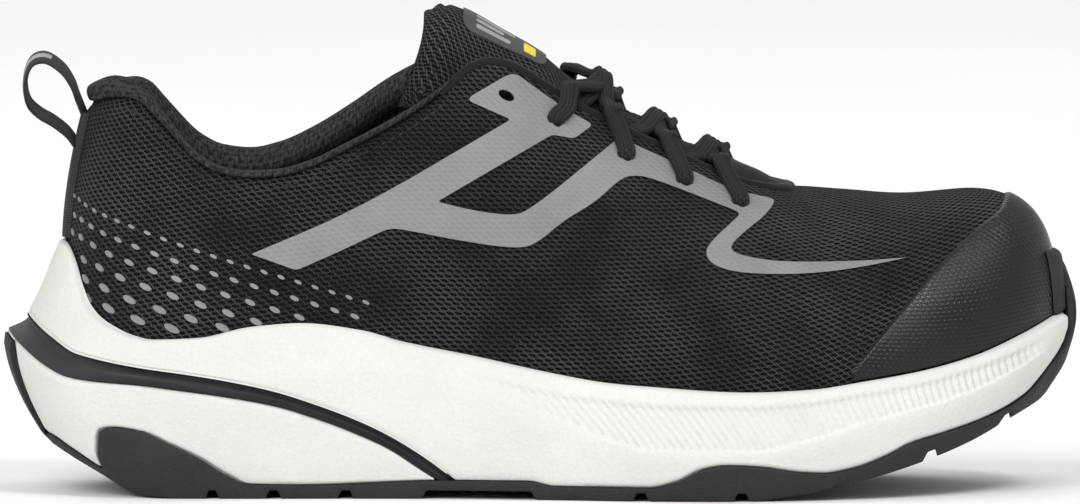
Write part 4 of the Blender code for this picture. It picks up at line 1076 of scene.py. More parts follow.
@functools.lru_cache(None)
def finish(name):
    """The shoe's finishes by name, each made once from the scene's colours and sizes."""
    scene = bpy.context.scene
    colours, sizes = scene.trainer_colours, scene.trainer_sizes
    cell, row = sizes.knit_cell / MM, sizes.knit_row / MM
    lace_rib = sizes.lace_rib / MM
    lean = math.radians(10)
    smooth = {"fine": 3000.0, "broad": 120.0, "roughness": 0.5}
    makers = {
        "knit": lambda: knit_finish("knit", colours.knit, cell, row, -lean),
        "lining": lambda: knit_finish(
            "lining", colours.lining, cell=0.9, row=2.6, angle=0.0, hole=0.4, depth=0.25),
        "collar": lambda: brushed_finish("collar_cloth", colours.lining),
        "tongue": lambda: knit_finish(
            "tongue_mesh", colours.knit, cell=1.9, row=1.3, angle=lean, hole=0.1, depth=0.5),
        "film": lambda: film_finish(
            "grey_film", colours.film, cell, row, -lean,
            print_through_and_shade=0.2, relief=0.12, roughness=0.42, specular=0.35),
        "guard": lambda: film_finish(
            "toe_guard_film", colours.guard, cell=1.9, row=1.15, angle=lean,
            print_through_and_shade=0.5, relief=0.085, roughness=0.28, specular=0.48),
        "foam": lambda: moulded_finish(
            "white_foam", colours.foam, fine=1100.0, broad=30.0, depth=0.24, roughness=0.7, spread=0.05),
        "rubber": lambda: rubber_finish("outsole_rubber", colours.rubber),
        "plate": lambda: moulded_finish(
            "heel_plate", colours.plate, fine=1200.0, broad=50.0, depth=0.05, roughness=0.5),
        "binding": lambda: woven_finish(
            "rolled_binding", colours.binding, rib=0.5, pick=0.35, depth=0.08, roughness=0.5),
        "lace": lambda: woven_finish("flat_lace", colours.lace, rib=lace_rib, pick=0.7),
        "webbing": lambda: woven_finish("webbing", colours.webbing, rib=0.7, pick=0.5, depth=0.18),
        "label": lambda: moulded_finish("label", colours.label, depth=0.03, **smooth),
        "label_mark": lambda: moulded_finish("label_mark", colours.label_mark, depth=0.02, **smooth),
        "accent": lambda: moulded_finish("accent", colours.accent, depth=0.02, **smooth),
        "insole": lambda: knit_finish(
            "insole_cloth", colours.insole, cell=1.1, row=1.1, angle=0.6, hole=0.6, depth=0.15),
        "floor": lambda: moulded_finish(
            "floor", colours.floor, fine=300.0, broad=3.0, depth=0.05, roughness=0.8, spread=0.01),
    }
    return makers[name]()


# Sole
def groove(distance, half):
    """0 in a groove and 1 off it, with sloping sides."""
    return ease((distance / half - 0.42) / 0.58)


def lug_share(station, across):
    """1 on a lug and 0 in a groove or under the arch, by station and share of the way across."""
    cross = np.min([groove(abs(station - place), GROOVE_HALF) for place in GROOVE_PLACES], axis=0)
    along = np.min([groove(abs(across - place), LONG_GROOVE_HALF) for place in LONG_GROOVES], axis=0)
    arch = np.maximum(ease((ARCH[0] - station) / 1.5 + 1), ease((station - ARCH[1]) / 1.5 + 1))
    return np.minimum(cross, arch)[:, None] * along[None, :]


def tread_height(station, across):
    return tread_root(station)[:, None] - LUG_DEPTH * lug_share(station, np.atleast_1d(across))


def rubber_proud(station):
    """How far the rubber stands out from the foam: most on the rear strip and the toe bumper."""
    toe = ease((station - TOE_BUMPER_START) / 2.0)
    along = RUBBER_PROUD + (BUMPER_PROUD - RUBBER_PROUD) * toe
    return np.where(station <= REAR_STRIP_END, BUMPER_PROUD, along)


def build_outsole():
    """The rubber: its walls, its lugs, the tray that the foam lies in, and the bumper on the toe."""
    station = sole_stations()
    low = tread_height(station, 0.0)
    edge = rubber_edge(station)[:, None]
    floor = tray_floor(station)[:, None]
    proud = rubber_proud(station)[:, None]
    shares = np.concatenate([[0.0, 0.03], np.linspace(0.08, 1.0, 15)])

    def wall(station, side):
        z = low + (edge - low) * shares
        out = proud * np.minimum(1, 2 * shares) - rounding(edge - z, 0.5) - 0.4 * (1 - ease(shares / 0.08))
        inside = np.concatenate([edge - 0.1, edge * 0.5 + floor * 0.5, floor], axis=1)
        rows = np.concatenate([z, edge + 0.1, inside], axis=1)
        back = np.concatenate([proud - 1.1, proud - RUBBER_WALL, proud * 0.5 - RUBBER_WALL,
                               np.full_like(edge, -RUBBER_WALL)], axis=1)
        return side_points(station, side, rows, np.concatenate([out, back], axis=1))

    walls = both_sides(station, wall)
    grooves = [place + LONG_GROOVE_HALF * LONG_GROOVE_STEPS for place in LONG_GROOVES]
    across = np.unique(np.round(np.concatenate([np.linspace(0, 1, 15), *grooves]), 4))
    count = len(station)
    lateral = walls[:count]
    medial = walls[np.r_[0, np.arange(len(walls) - 2, count - 1, -1), count - 1]]
    tread = lateral[:, :1] + (medial[:, :1] - lateral[:, :1]) * across[None, :, None]
    inner = (across > 0.01) & (across < 0.99)
    tread[:, inner, 2] = tread_height(station, across)[:, inner]
    tray = lateral[:, -1:] + (medial[:, -1:] - lateral[:, -1:]) * np.linspace(0, 1, 4)[None, :, None]
    parts = [sheet("outsole", walls), sheet("tread", tread), sheet("tray", tray)]
    mend(join(parts, "outsole_rubber"), merge=0.02)
    piece = join([parts[0], toe_bumper()], "outsole_rubber")
    settle(piece, finish("rubber"), "outsole_rubber", "outsole", angle=32)


def toe_bumper():
    """The rough pad over the tip of the toe, which stands on the outsole's strip."""
    near = round_stations(150, TOE_END, TOE_ROUND, TOE_POWER)
    station = near[near > BUMPER_SIDE][::-1]
    z = np.linspace(BUMPER_LOW, TOE_BUMPER_TOP, BUMPER_ROWS)
    rows = np.broadcast_to(z, (len(station), len(z)))
    points = both_sides(station, lambda s, side: upper_at(s, side, rows))
    normals = unit(np.cross(np.gradient(points, axis=0), np.gradient(points, axis=1)))
    span = np.linalg.norm(points - points[len(station) - 1], axis=-1)
    room = np.minimum(span[0] - span, np.minimum(z - BUMPER_LOW, TOE_BUMPER_TOP - z))
    y = points[..., 1]
    rough = BUMPER_ROUGHNESS * np.sin(y * 2.9 + 2 * np.sin(z * 1.3)) * np.sin(z * 2.3 + y)
    lift = BUMPER_LIFT - rounding(np.maximum(room, 0.05), BUMPER_ROUND) + rough * ease(room)
    pad = sheet("bumper", points + normals * lift[..., None])
    modify(pad, "SOLIDIFY", thickness=BUMPER_THICKNESS * MM, offset=-1)
    return mend(pad)


def core_rows(station, side, height):
    """Points of the ring inside which the plate lies flat under the foot."""
    points = side_points(station, side, read(PLATE, "top", station)[:, None], -CORE_INSET)
    points[..., 2] = height[:, None]
    return points


def plate_top(station):
    """Top of the plate under the foot, which is lower than at its rim behind the heel."""
    return np.minimum(read(PLATE, "top", station), footbed(station) - CORE_FLOOR)


def plate_bottom(station):
    return np.minimum(read(PLATE, "bottom", station), plate_top(station) - 2.0)


RIB_START = -46.0
RIB_END = 143.0
RIB_PITCH = 2.9
RIB_CLOSING = 480.0
RIB_DEPTH = 0.62
BAND_DEPTH = 0.65
LEAN_PLACES = (-20.0, 50.0, 115.0)
LEANS = (1.15, 0.77, 0.25)


def ribs(points, station):
    """The sunk band along the foam's side and its slanted grooves, closer and steeper towards the toe."""
    ridge = read(SIDE_HEIGHTS, "ridge", station)[:, None]
    band = read(SIDE_HEIGHTS, "band", station)[:, None]
    x, z = points[..., 0], points[..., 2]
    inside = ease((z - ridge) / 0.7) * ease((band + 1.4 - z) / 2.4)
    fade = ease((x - RIB_START) / 56.0) * ease((RIB_END - x) / 10.0)
    along = x + np.interp(x, LEAN_PLACES, LEANS) * (z - band)
    turn = 2 * math.pi * along * (1 + along / RIB_CLOSING) / RIB_PITCH
    return -inside * fade * (BAND_DEPTH + RIB_DEPTH * (0.5 + 0.5 * np.cos(turn)) ** 1.5)


def build_midsole():
    """The upper foam: a cup round the foot of the upper, with a ribbed band along its side."""
    ribbed = np.arange(RIB_START, RIB_END - 1, RIB_STEP)
    station = stations(SOLE_STEP, 30, np.concatenate([sole_stations(), ribbed]))
    under_plate = station <= PLATE_FRONT + 3
    low = np.maximum(tray_floor(station), read(PLATE, "top", station) * under_plate)[:, None] + GAP
    core_low = np.maximum(tray_floor(station), plate_top(station) * under_plate) + GAP
    top = rim(station)[:, None]
    edge = np.minimum(np.maximum(foam_edge(station)[:, None], low + 0.5), top - 0.8)
    covered = np.where(foam_edge(station) > rim(station), -(RUBBER_WALL + GAP), 0.0)[:, None]
    foot = np.where(station > PLATE_FRONT - 1, -(RUBBER_WALL + GAP), -0.4)[:, None]
    foot_z = np.concatenate([low, edge], axis=1)
    bed = footbed(station)[:, None]
    shares = np.linspace(0, 1, 44) ** 0.9

    def section(station, side):
        z = edge + (top - edge) * shares
        soft = rounding(top - z, 1.3) + rounding(z - edge, 0.5)
        face = side_points(station, side, z, covered - soft)
        face += outward(station, side)[:, None] * ribs(face, station)[..., None]
        below = side_points(station, side, foot_z, foot)
        cup_z = np.concatenate([top, bed + (top - bed) * 0.45, bed], axis=1)
        cup = upper_at(station, side, cup_z, CUP_GAP)
        cup[..., 2] = cup_z
        lip = face[:, -1:] * 0.4 + cup[:, :1] * 0.6
        return np.concatenate([core_rows(station, side, core_low), below, face, lip, cup], axis=1)

    piece = ring("midsole_foam", both_sides(station, section))
    settle(piece, finish("foam"), "foam", "midsole", angle=50)


def build_heel_wedge():
    """The lower foam, from the heel to the point where the plate comes down to the rubber."""
    station = sole_stations()
    station = station[station <= WEDGE_FRONT + 1e-6]
    top = read(PLATE, "bottom", station)[:, None] - GAP
    edge = np.minimum(foam_edge(station)[:, None], top - 0.6)
    low = tray_floor(station)[:, None] + GAP
    shares = np.linspace(0, 1, 24)
    hidden = -(RUBBER_WALL + GAP)

    def section(station, side):
        z = edge + (top - edge) * shares
        soft = rounding(top - z, 0.9) + rounding(z - edge, 0.5)
        face = side_points(station, side, z, -soft)
        below = side_points(station, side, np.concatenate([low, edge], axis=1), hidden)
        return np.concatenate([below, face, core_rows(station, side, plate_bottom(station) - GAP)], axis=1)

    piece = ring("heel_wedge_foam", both_sides(station, section, closed=False), fill=True)
    settle(piece, finish("foam"), "foam", "heel_wedge", angle=50)


def build_heel_plate():
    """The plate between the two foams, with a groove all round its edge."""
    station = sole_stations()
    station = station[station <= PLATE_FRONT + 1e-6]
    bottom = np.maximum(read(PLATE, "bottom", station), tray_floor(station) + GAP)[:, None]
    top = read(PLATE, "top", station)[:, None]
    shares = np.linspace(0, 1, 15)

    def section(station, side):
        z = bottom + (top - bottom) * shares
        behind = (RUBBER_WALL + GAP) * ease((rubber_edge(station)[:, None] + 0.5 - z) / 0.6)
        groove_in = PLATE_GROOVE * np.sin(math.pi * shares) ** 0.8 + 0.3
        face = side_points(station, side, z, -np.maximum(groove_in, behind))
        first, last = (core_rows(station, side, height(station)) for height in (plate_bottom, plate_top))
        return np.concatenate([first, face, last], axis=1)

    piece = ring("heel_plate_shell", both_sides(station, section, closed=False), fill=True)
    settle(piece, finish("plate"), "plate", "heel_plate", angle=50)


# Upper
SEAM_DEPTH = 0.9
EASE_REACH = 9.0
EASE_PASSES = 80
EASE_SHARE = 0.6


def ease_throat(points, station):
    """Eases the kink that the end of the throat would leave all the way down the wall."""
    near = np.exp(-(((read(SECTIONS, "x_top", station) - THROAT_END) / EASE_REACH) ** 2))
    near = np.concatenate([near, near[-2::-1]])
    share = near[:, None] * ease((1 - UPPER_SHARES) / 0.2) * ease(UPPER_SHARES / 0.2)
    points = points.copy()
    for _ in range(EASE_PASSES):
        beside = (points[2:] + points[:-2]) / 2
        points[1:-1] += (beside - points[1:-1]) * EASE_SHARE * share[1:-1, :, None]
    return points


@functools.lru_cache(None)
def upper_face():
    """The upper's outer face with its creases: points, normals and UV places, right round the shoe."""
    throat = [float(station_of(x)) for x in (60.0, 64.0, 66.0, 68.0, 69.0, 69.6, 70.0)]
    station = stations(UPPER_STEP, 22, throat)
    points = both_sides(station, lambda s, side: upper_grid(s, side, UPPER_SHARES))
    around = np.roll(points[:-1], -1, axis=0) - np.roll(points[:-1], 1, axis=0)
    normals = unit(np.cross(np.concatenate([around, around[:1]]), np.gradient(points, axis=1)))
    points = ease_throat(points, station)
    uv = lengths(points)
    for (x0, z0), (x1, z1), width, depth in CREASES:
        way = np.array([x1 - x0, z1 - z0])
        off = points[..., [0, 2]] - [x0, z0]
        share = (off @ way) / (way @ way)
        side_way = np.abs(off[..., 0] * way[1] - off[..., 1] * way[0]) / np.linalg.norm(way)
        reach = ease(share / 0.25 + 0.2) * ease((1 - share) / 0.25 + 0.2)
        points = points - normals * (depth * reach * np.exp(-(side_way / width) ** 2))[..., None]
    along = np.concatenate([station, station[-2::-1]])
    seam = SEAM_DEPTH * ease((COLLAR_FRONT - read(SECTIONS, "x_top", along)) / 4.0)
    points = points - normals * (seam[:, None] * ease((UPPER_SHARES - 0.958) / 0.035))[..., None]
    return station, points, normals, uv


def eyelet(place, drop, side):
    """Where an eyelet is, the direction straight out of it and the way up the upper."""
    station = float(station_of(place))
    top = upper_point(station, side, 1.0)
    share = float(shares_at(np.array([station]), side, np.array([[top[2] - drop]]))[0, 0])
    along = upper_point(station + 0.5, side, share) - upper_point(station - 0.5, side, share)
    up = upper_point(station, side, share + 0.005) - upper_point(station, side, share - 0.005)
    return upper_point(station, side, share), unit(np.cross(along, up) * -side), unit(up)


EYELET_SIZE = (2.1, 1.6)
SLOT_SIZE = (2.4, 1.5)
EYELET_LEAN = math.radians(60)
SLOT_LEAN = math.radians(25)
PIN_REACH = 7.0


def eyelet_pins():
    """A tool of oval pins through every eyelet."""
    select_only()
    bpy.ops.mesh.primitive_cylinder_add(vertices=20, radius=1, depth=2)
    model = bpy.context.object
    pins = []
    for side in (LATERAL, MEDIAL):
        for number, (place, drop) in enumerate(EYELETS):
            point, normal, up = eyelet(place, drop, side)
            long, short = EYELET_SIZE if number else SLOT_SIZE
            flat = unit(np.cross(up, normal))
            lean = (EYELET_LEAN if number else SLOT_LEAN) * side
            first = flat * math.cos(lean) + up * math.sin(lean)
            second = np.cross(normal, first)
            pin = copy_of(model)
            for vertex in pin.data.vertices:
                x, y, z = vertex.co
                vertex.co = (point + first * x * long + second * y * short + normal * z * PIN_REACH) * MM
            pins.append(pin)
    remove(model)
    return mend(join(pins, "eyelet_pins"))


def build_upper():
    """The knit upper, lined inside, with its eyelets cut through."""
    _, points, _, uv = upper_face()
    piece = mend(sheet("upper_knit", points, uv), merge=0.02, turn=False)
    piece.data.materials.append(finish("knit"))
    piece.data.materials.append(finish("lining"))
    modify(piece, "SOLIDIFY", thickness=WALL * MM, offset=-1, material_offset=1)
    pins = eyelet_pins()
    cut(piece, pins, "DIFFERENCE")
    remove(pins)
    settle(piece, None, "knit", "upper")


def build_insole():
    """The insole, a little dished and clear of the upper's wall."""
    station = stations(3.0, 14)
    z = (footbed(station) + GAP + INSOLE_THICKNESS)[:, None]
    lateral, medial = (upper_at(station, side, z + 0.5, -(WALL + GAP + 1.0)) for side in (LATERAL, MEDIAL))
    across = np.linspace(0, 1, 26)
    points = lateral + (medial - lateral) * across[None, :, None]
    points[..., 2] = z - INSOLE_DISH * np.sin(math.pi * across) ** 2
    under = points[:, ::-1] - UP * INSOLE_BODY
    piece = ring("insole_cloth", np.concatenate([points, under], axis=1), fill=True)
    settle(piece, finish("insole"), "insole_cloth", "insole")


GUARD_REAR = 60.0
GUARD_LIFT = 0.15
SKIN_THICKNESS = 0.5


def build_toe_cap():
    """The guard follows the upper from the sole to its own rear edge, thinning at that edge."""
    station = upper_face()[0]
    station = station[station > GUARD_REAR]
    low = (rim(station) + 0.6)[:, None]

    def limits(side):
        wall = upper_grid(station, side, GUARD_SHARES)
        ahead = wall[..., 0] > read(GUARD_EDGE, "place", wall[..., 2])
        first = shares_at(station, side, low)[:, 0]
        gone = ~ahead & (GUARD_SHARES[None, :] >= first[:, None])
        last = np.where(gone.any(axis=1), GUARD_SHARES[np.argmax(gone, axis=1)], 1.0)
        return first, last

    spans = {side: limits(side) for side in (LATERAL, MEDIAL)}
    start = max(np.argmax(last - first > 0.02) for first, last in spans.values())
    rows = np.linspace(0, 1, GUARD_ROWS) ** 0.8

    def face(station, side):
        first, last = (span[start:, None] for span in spans[side])
        return upper_grid(station, side, first + (last - first) * rows)

    points = both_sides(station[start:], face)
    normals = unit(np.cross(np.gradient(points, axis=0), np.gradient(points, axis=1)))
    left = np.linalg.norm(points[:, -1:] - points, axis=-1)
    sides = np.minimum(np.arange(len(points)), np.arange(len(points))[::-1])[:, None] * 1.2
    lift = GUARD_LIFT + CAP_THICKNESS * ease(np.minimum(left, sides) / 1.6 + 0.2)
    piece = sheet("toe_guard", points + normals * lift[..., None])
    modify(piece, "SOLIDIFY", thickness=SKIN_THICKNESS * MM, offset=-1)
    mend(piece)
    settle(piece, finish("guard"), "toe_guard", "toe_cap")


CORNER_STEPS = 6
POINT_SPACING = 0.15
PRISM_START = 80.0
PRISM_END = 3.0


def rounded_outline(corners):
    """A closed outline of corners, each rounded by the length given with it."""
    corners = np.asarray(corners, float)
    places, sizes = corners[:, :2], corners[:, 2]
    made = []
    for i, (point, size) in enumerate(zip(places, sizes)):
        before, after = places[i - 1] - point, places[(i + 1) % len(places)] - point
        start = point + before * min(0.5, size / np.linalg.norm(before))
        end = point + after * min(0.5, size / np.linalg.norm(after))
        for t in np.linspace(0, 1, CORNER_STEPS, endpoint=size < SOFT):
            made.append(start * (1 - t) ** 2 + 2 * point * t * (1 - t) + end * t**2)
    kept = [made[0]]
    for point in made[1:]:
        if np.linalg.norm(point - kept[-1]) > POINT_SPACING:
            kept.append(point)
    return np.array(kept)


def side_prism(name, outline, side):
    """A tool with an outline as seen from the side, from well outside the shoe to near its middle."""
    select_only()
    bpy.ops.mesh.primitive_circle_add(vertices=len(outline), radius=1, fill_type="NGON")
    tool = bpy.context.object
    tool.name = name
    slant = math.tan(SIDE_TILT)
    for vertex, (x, height) in zip(tool.data.vertices, outline):
        vertex.co = Vector((x, side * PRISM_START, height + PRISM_START * slant)) * MM
    bpy.ops.object.mode_set(mode="EDIT")
    bpy.ops.mesh.select_all(action="SELECT")
    depth = PRISM_START - PRISM_END
    inwards = (0.0, -side * depth * MM, -depth * slant * MM)
    bpy.ops.mesh.extrude_region_move(TRANSFORM_OT_translate={"value": inwards})
    bpy.ops.object.mode_set(mode="OBJECT")
    return mend(tool)


FILM_LIFT = 0.12
FILM_THICKNESS = 0.45
FILM_REACH = (-105.0, 140.0)
FILM_ROWS = slice(14, None)
FILM_MEDIAL_SHIFT = (0.0, 1.6)


def build_films():
    """The grey film on each side, cut from a skin over the upper, with its eyelets."""
    station, points, normals, uv = upper_face()
    count = len(station)
    blocks = {LATERAL: slice(0, count), MEDIAL: slice(count - 1, None)}
    pins = eyelet_pins()
    outline = rounded_outline(FILM_OUTLINE)
    for side, name in ((LATERAL, "lateral"), (MEDIAL, "medial")):
        place = np.concatenate([station, station[-2::-1]])[blocks[side]]
        used = (place > FILM_REACH[0]) & (place < FILM_REACH[1])
        skin = (points + normals * (FILM_LIFT + FILM_THICKNESS))[blocks[side]][used][:, FILM_ROWS]
        piece = sheet("film_" + name, skin, uv[blocks[side]][used][:, FILM_ROWS])
        modify(piece, "SOLIDIFY", thickness=FILM_THICKNESS * MM, offset=-1)
        mend(piece)
        shape = outline if side == LATERAL else outline + FILM_MEDIAL_SHIFT
        tool = side_prism("film_outline", shape, side)
        cut(piece, tool, "INTERSECT")
        cut(piece, pins, "DIFFERENCE")
        remove(tool)
        settle(piece, finish("film"), "film", "eyestay_" + name)
    remove(pins)


DOT_RAY = 90.0
DOT_HEIGHT = 0.3
DOT_ROOT = 0.2
DOT_FOOT_HALF = 0.5
DOT_TOP_HALF = 0.44


def build_heel_dots():
    """Rows of raised oval dots printed round the heel, larger towards the sole."""
    knit = bpy.data.objects["upper_knit"]
    tree = BVHTree.FromObject(knit, bpy.context.evaluated_depsgraph_get())
    slant = math.tan(SIDE_TILT)
    select_only()
    bpy.ops.mesh.primitive_cylinder_add(vertices=16, radius=1, depth=2, end_fill_type="TRIFAN")
    model = bpy.context.object
    dots = []
    for corners, count, long, short in DOT_ROWS:
        line = spline(corners, 24)
        for side in (LATERAL, MEDIAL):
            found = []
            for x, height in line:
                start = Vector((x, side * DOT_RAY, height + DOT_RAY * slant)) * MM
                hit, _, _, far = tree.ray_cast(start, Vector((0.0, -side, -slant)))
                if hit and far < DOT_RAY * MM:
                    found.append(np.array(hit) / MM)
            path = np.array(found)
            steps = np.linalg.norm(np.diff(path, axis=0), axis=-1)
            run = np.concatenate([[0], np.cumsum(steps)])
            for share in np.linspace(0, run[-1], count):
                middle = np.array([np.interp(share, run, path[:, i]) for i in range(3)])
                dots.append(heel_dot(model, tree, middle, long, short))
    remove(model)
    piece = mend(join(dots, "heel_dots"))
    settle(piece, finish("film"), "film")


def heel_dot(model, tree, middle, long, short):
    """A copy of the dot, laid on the knit."""
    normal = np.array(tree.find_nearest(Vector(middle) * MM)[1])
    flat = unit(np.cross(UP, normal))
    flat = flat if flat[0] > 0 else -flat
    up = np.cross(normal, flat)
    up = up if up[2] > 0 else -up
    first = flat * math.cos(DOT_SLANT) + up * math.sin(DOT_SLANT)
    second = up * math.cos(DOT_SLANT) - flat * math.sin(DOT_SLANT)
    dot = copy_of(model)
    for vertex in dot.data.vertices:
        x, y, z = vertex.co
        size = DOT_FOOT_HALF if z < 0 else DOT_TOP_HALF
        wanted = middle + first * x * long * size + second * y * short * size
        on, away, _, _ = tree.find_nearest(Vector(wanted) * MM)
        vertex.co = on + away * (DOT_HEIGHT if z > 0 else -DOT_ROOT) * MM
    return dot


# Collar, tongue and trims
def inner_wall(station, side, drop):
    """The inside of the upper at a drop below its top edge."""
    tilt = np.radians(read(SECTIONS, "tilt", station))
    top = upper_grid(station, side, np.array([1.0]))[:, 0, 2]
    out = -(WALL + GAP) / np.sin(tilt) - 0.15
    return upper_at(station, side, (top - drop)[:, None], out[:, None, None])[:, 0]


def collar_sections(station, side):
    """The padding's outlines, from the seam over the top and down inside the upper."""
    top = upper_grid(station, side, np.array([1.0]))[:, 0]
    out = outward(station, side)
    place = read(SECTIONS, "x_top", station)
    rise, thick, hang = (read(COLLAR, column, place) for column in ("rise", "thick", "hang"))

    def off(inward, up):
        return top - out * np.asarray(inward * thick)[:, None] + UP * np.asarray(up * rise)[:, None]

    def inside(share, inward):
        return inner_wall(station, side, share * hang) - out * (inward * thick)[:, None]

    points = [
        top - out * 0.7 + UP * 0.1,
        top + out * 0.3 + UP * 0.45,
        top + out * 0.95 + UP * (0.5 * rise)[:, None],
        top + out * 0.5 + UP * (0.88 * rise)[:, None],
        off(0.16, 1.0),
        off(0.42, 0.98),
        off(0.72, 0.55),
        inside(0.1, 0.74),
        inside(0.22, 0.8),
        inside(0.34, 0.64),
        inside(0.44, 0.34),
        inside(0.6, 0.2),
        inside(0.9, 0.14),
        inside(1.0, 0.03),
        inside(0.5, 0.0),
        inside(0.06, 0.0),
    ]
    return np.stack(points, axis=1)


def build_collar():
    """The padded collar: a roll over the top edge, with its lining down inside."""
    every = stations(2.2, 20)
    every = every[read(SECTIONS, "x_top", every) < COLLAR_FRONT]
    station = np.append(every, station_of(COLLAR_FRONT))
    sections = both_sides(station, collar_sections, closed=False)
    columns = np.array([spline(section, 4, closed=True) for section in sections])
    piece = ring("collar_padding", columns, fill=True)
    settle(piece, finish("collar"), "collar_cloth", "collar", angle=60)


STITCH_PITCH = 2.7
STITCH_SIZE = (1.8, 0.6, 0.28)
STITCH_SHARE = 0.942


def build_stitches():
    """The row of stitches just under the collar's seam."""
    station, points, normals, _ = upper_face()
    row = np.argmin(np.abs(UPPER_SHARES - STITCH_SHARE))
    place = read(SECTIONS, "x_top", np.concatenate([station, station[-2::-1]]))
    select_only()
    bpy.ops.mesh.primitive_uv_sphere_add(segments=8, ring_count=5, radius=1)
    model = bpy.context.object
    threads = []
    for block in (slice(0, len(station)), slice(len(station) - 1, None)):
        sewn = place[block] < COLLAR_FRONT
        path, out = points[block][sewn][:, row], normals[block][sewn][:, row]
        way = unit(np.gradient(path, axis=0))
        steps = np.linalg.norm(np.diff(path, axis=0), axis=-1)
        run = np.concatenate([[0], np.cumsum(steps)])
        for at in np.arange(STITCH_PITCH, run[-1] - STITCH_PITCH, STITCH_PITCH):
            middle, first, normal = (
                np.array([np.interp(at, run, values[:, i]) for i in range(3)]) for values in (path, way, out))
            axes = (first, np.cross(normal, first), normal)
            thread = copy_of(model)
            for vertex in thread.data.vertices:
                shifts = (axis * co * size / 2 for axis, co, size in zip(axes, vertex.co, STITCH_SIZE))
                vertex.co = (middle + sum(shifts)) * MM
            threads.append(thread)
    remove(model)
    piece = mend(join(threads, "collar_stitches"))
    settle(piece, finish("webbing"), "webbing", angle=80)


BINDING_RADIUS = 1.6
BINDING_SWELL = 0.5


def build_throat_edge():
    """The rolled binding along the two sides of the throat, thicker round its end."""
    place = np.concatenate([np.arange(COLLAR_FRONT - 3, 60.0, 1.2), np.linspace(60.0, THROAT_END, 24)])
    edge = both_sides(station_of(place), lambda s, side: upper_grid(s, side, np.array([0.97, 1.0])))
    path = edge[:, 1]
    up = unit(edge[:, 1] - edge[:, 0])
    normal = unit(np.cross(np.gradient(path, axis=0), up))
    along = np.concatenate([place, place[-2::-1]])
    radius = BINDING_RADIUS + BINDING_SWELL * ease((along - 54.0) / 12.0)
    core = path - normal * (0.45 * WALL) + up * 0.25
    angles = np.linspace(0, 2 * math.pi, 18, endpoint=False)
    circle = np.stack([np.cos(angles), np.sin(angles)], -1)
    section = circle[None] * radius[:, None, None]
    piece = sweep("throat_binding", core, normal, section)
    settle(piece, finish("binding"), "binding", "throat_edge", angle=60)


TONGUE_TOP = -30.2
TONGUE_FRONT = 78.0
TONGUE_SWEEP = 6.5
TONGUE_EDGE = 4.4
TONGUE_SEAM = -26.4
SEAM_DIP = 0.16
FLAT_SHARE = 0.94
ROUND_SHARE = 0.06
BACK_SLOPE = -0.2


def tongue_points(place, across, depth):
    """Points of the tongue: across runs from -1 to 1 and depth from 0 on its face to 1 on its back."""
    half = read(TONGUE, "half", place)
    thick = read(TONGUE, "thick", place) * (1 - 0.55 * across**4)
    fall = read(TONGUE, "drop", place) * across**2
    slope = (read(TONGUE, "z", place + 1) - read(TONGUE, "z", place - 1)) / 2
    size = np.sqrt(slope**2 + 1)
    back = np.stack([slope / size, np.zeros_like(size), -1 / size], -1)
    swept = place - TONGUE_SWEEP * across**4 * ease(-place / 30.0)
    crest = np.stack([swept, top_middle(place) + half * across, read(TONGUE, "z", place) - fall], -1)
    return crest + back * (thick * depth)[..., None]


def build_tongue():
    """The padded tongue, rounded at its edges and closed at its top, with the tag at the throat's end."""
    angles = np.linspace(math.pi / 2, 0, 7)[:-1]
    fine = np.arange(TONGUE_TOP, TONGUE_SEAM + 3, 0.4)
    coarse = np.arange(TONGUE_SEAM + 3.4, TONGUE_FRONT, 1.4)
    place = np.concatenate([np.full(len(angles), TONGUE_TOP), fine, coarse, [TONGUE_FRONT]])
    beyond = len(place) - len(angles)
    back = np.concatenate([np.sin(angles), np.zeros(beyond)]) * TONGUE_EDGE
    open_by = np.concatenate([np.cos(angles), np.ones(beyond)])
    turn = np.linspace(0, math.pi, 9)[1:-1]
    face = np.linspace(-FLAT_SHARE, FLAT_SHARE, 41)
    edge = FLAT_SHARE + ROUND_SHARE * np.sin(turn)
    across = np.concatenate([face, edge, face[::-1], -edge])
    down = 0.5 - 0.5 * np.cos(turn)
    depth = np.concatenate([np.zeros_like(face), down, np.ones_like(face), 0.5 + 0.5 * np.cos(turn)])
    grid_place, grid_across = np.meshgrid(place, across, indexing="ij")
    dip = SEAM_DIP * np.exp(-(((place - TONGUE_SEAM) / 0.9) ** 2))
    grid_depth = 0.5 + (depth[None, :] - 0.5) * (open_by - dip)[:, None]
    points = tongue_points(grid_place, grid_across, grid_depth)
    points[..., 0] -= back[:, None]
    piece = ring("tongue_pad", points, fill=True)
    piece.data.materials.append(finish("tongue"))
    piece.data.materials.append(finish("collar"))
    for polygon in piece.data.polygons:
        polygon.material_index = int(polygon.normal.z < BACK_SLOPE)
    tag = label_patch(
        "tag", (49.0, 68.0), (-0.8, 0.8), corner=3.0, lift=2.7, thickness=1.8, material=finish("binding"))
    piece = join([piece, tag], "tongue_pad")
    settle(piece, None, "tongue_cloth", "tongue", angle=60)


def label_patch(name, places, across, corner, lift, thickness, material):
    """A thin patch with round corners that follows the face of the tongue."""
    start, end = places
    angles = np.linspace(0, math.pi / 2, 8)
    steps = corner * (1 - np.cos(angles))
    between = np.linspace(start + corner, end - corner, 24)[1:-1]
    place = np.concatenate([start + steps, between, end - steps[::-1]])
    half = read(TONGUE, "half", place)
    inset = rounding(np.minimum(place - start, end - place), corner) / half
    low, high = across[0] + inset, across[1] - inset
    side = low[:, None] + (high - low)[:, None] * np.linspace(0, 1, 20)
    place = np.broadcast_to(place[:, None], side.shape)
    piece = sheet(name, tongue_points(place, side, -lift / read(TONGUE, "thick", place)))
    modify(piece, "SOLIDIFY", thickness=thickness * MM, offset=-1)
    mend(piece)
    piece.data.materials.append(material)
    return piece


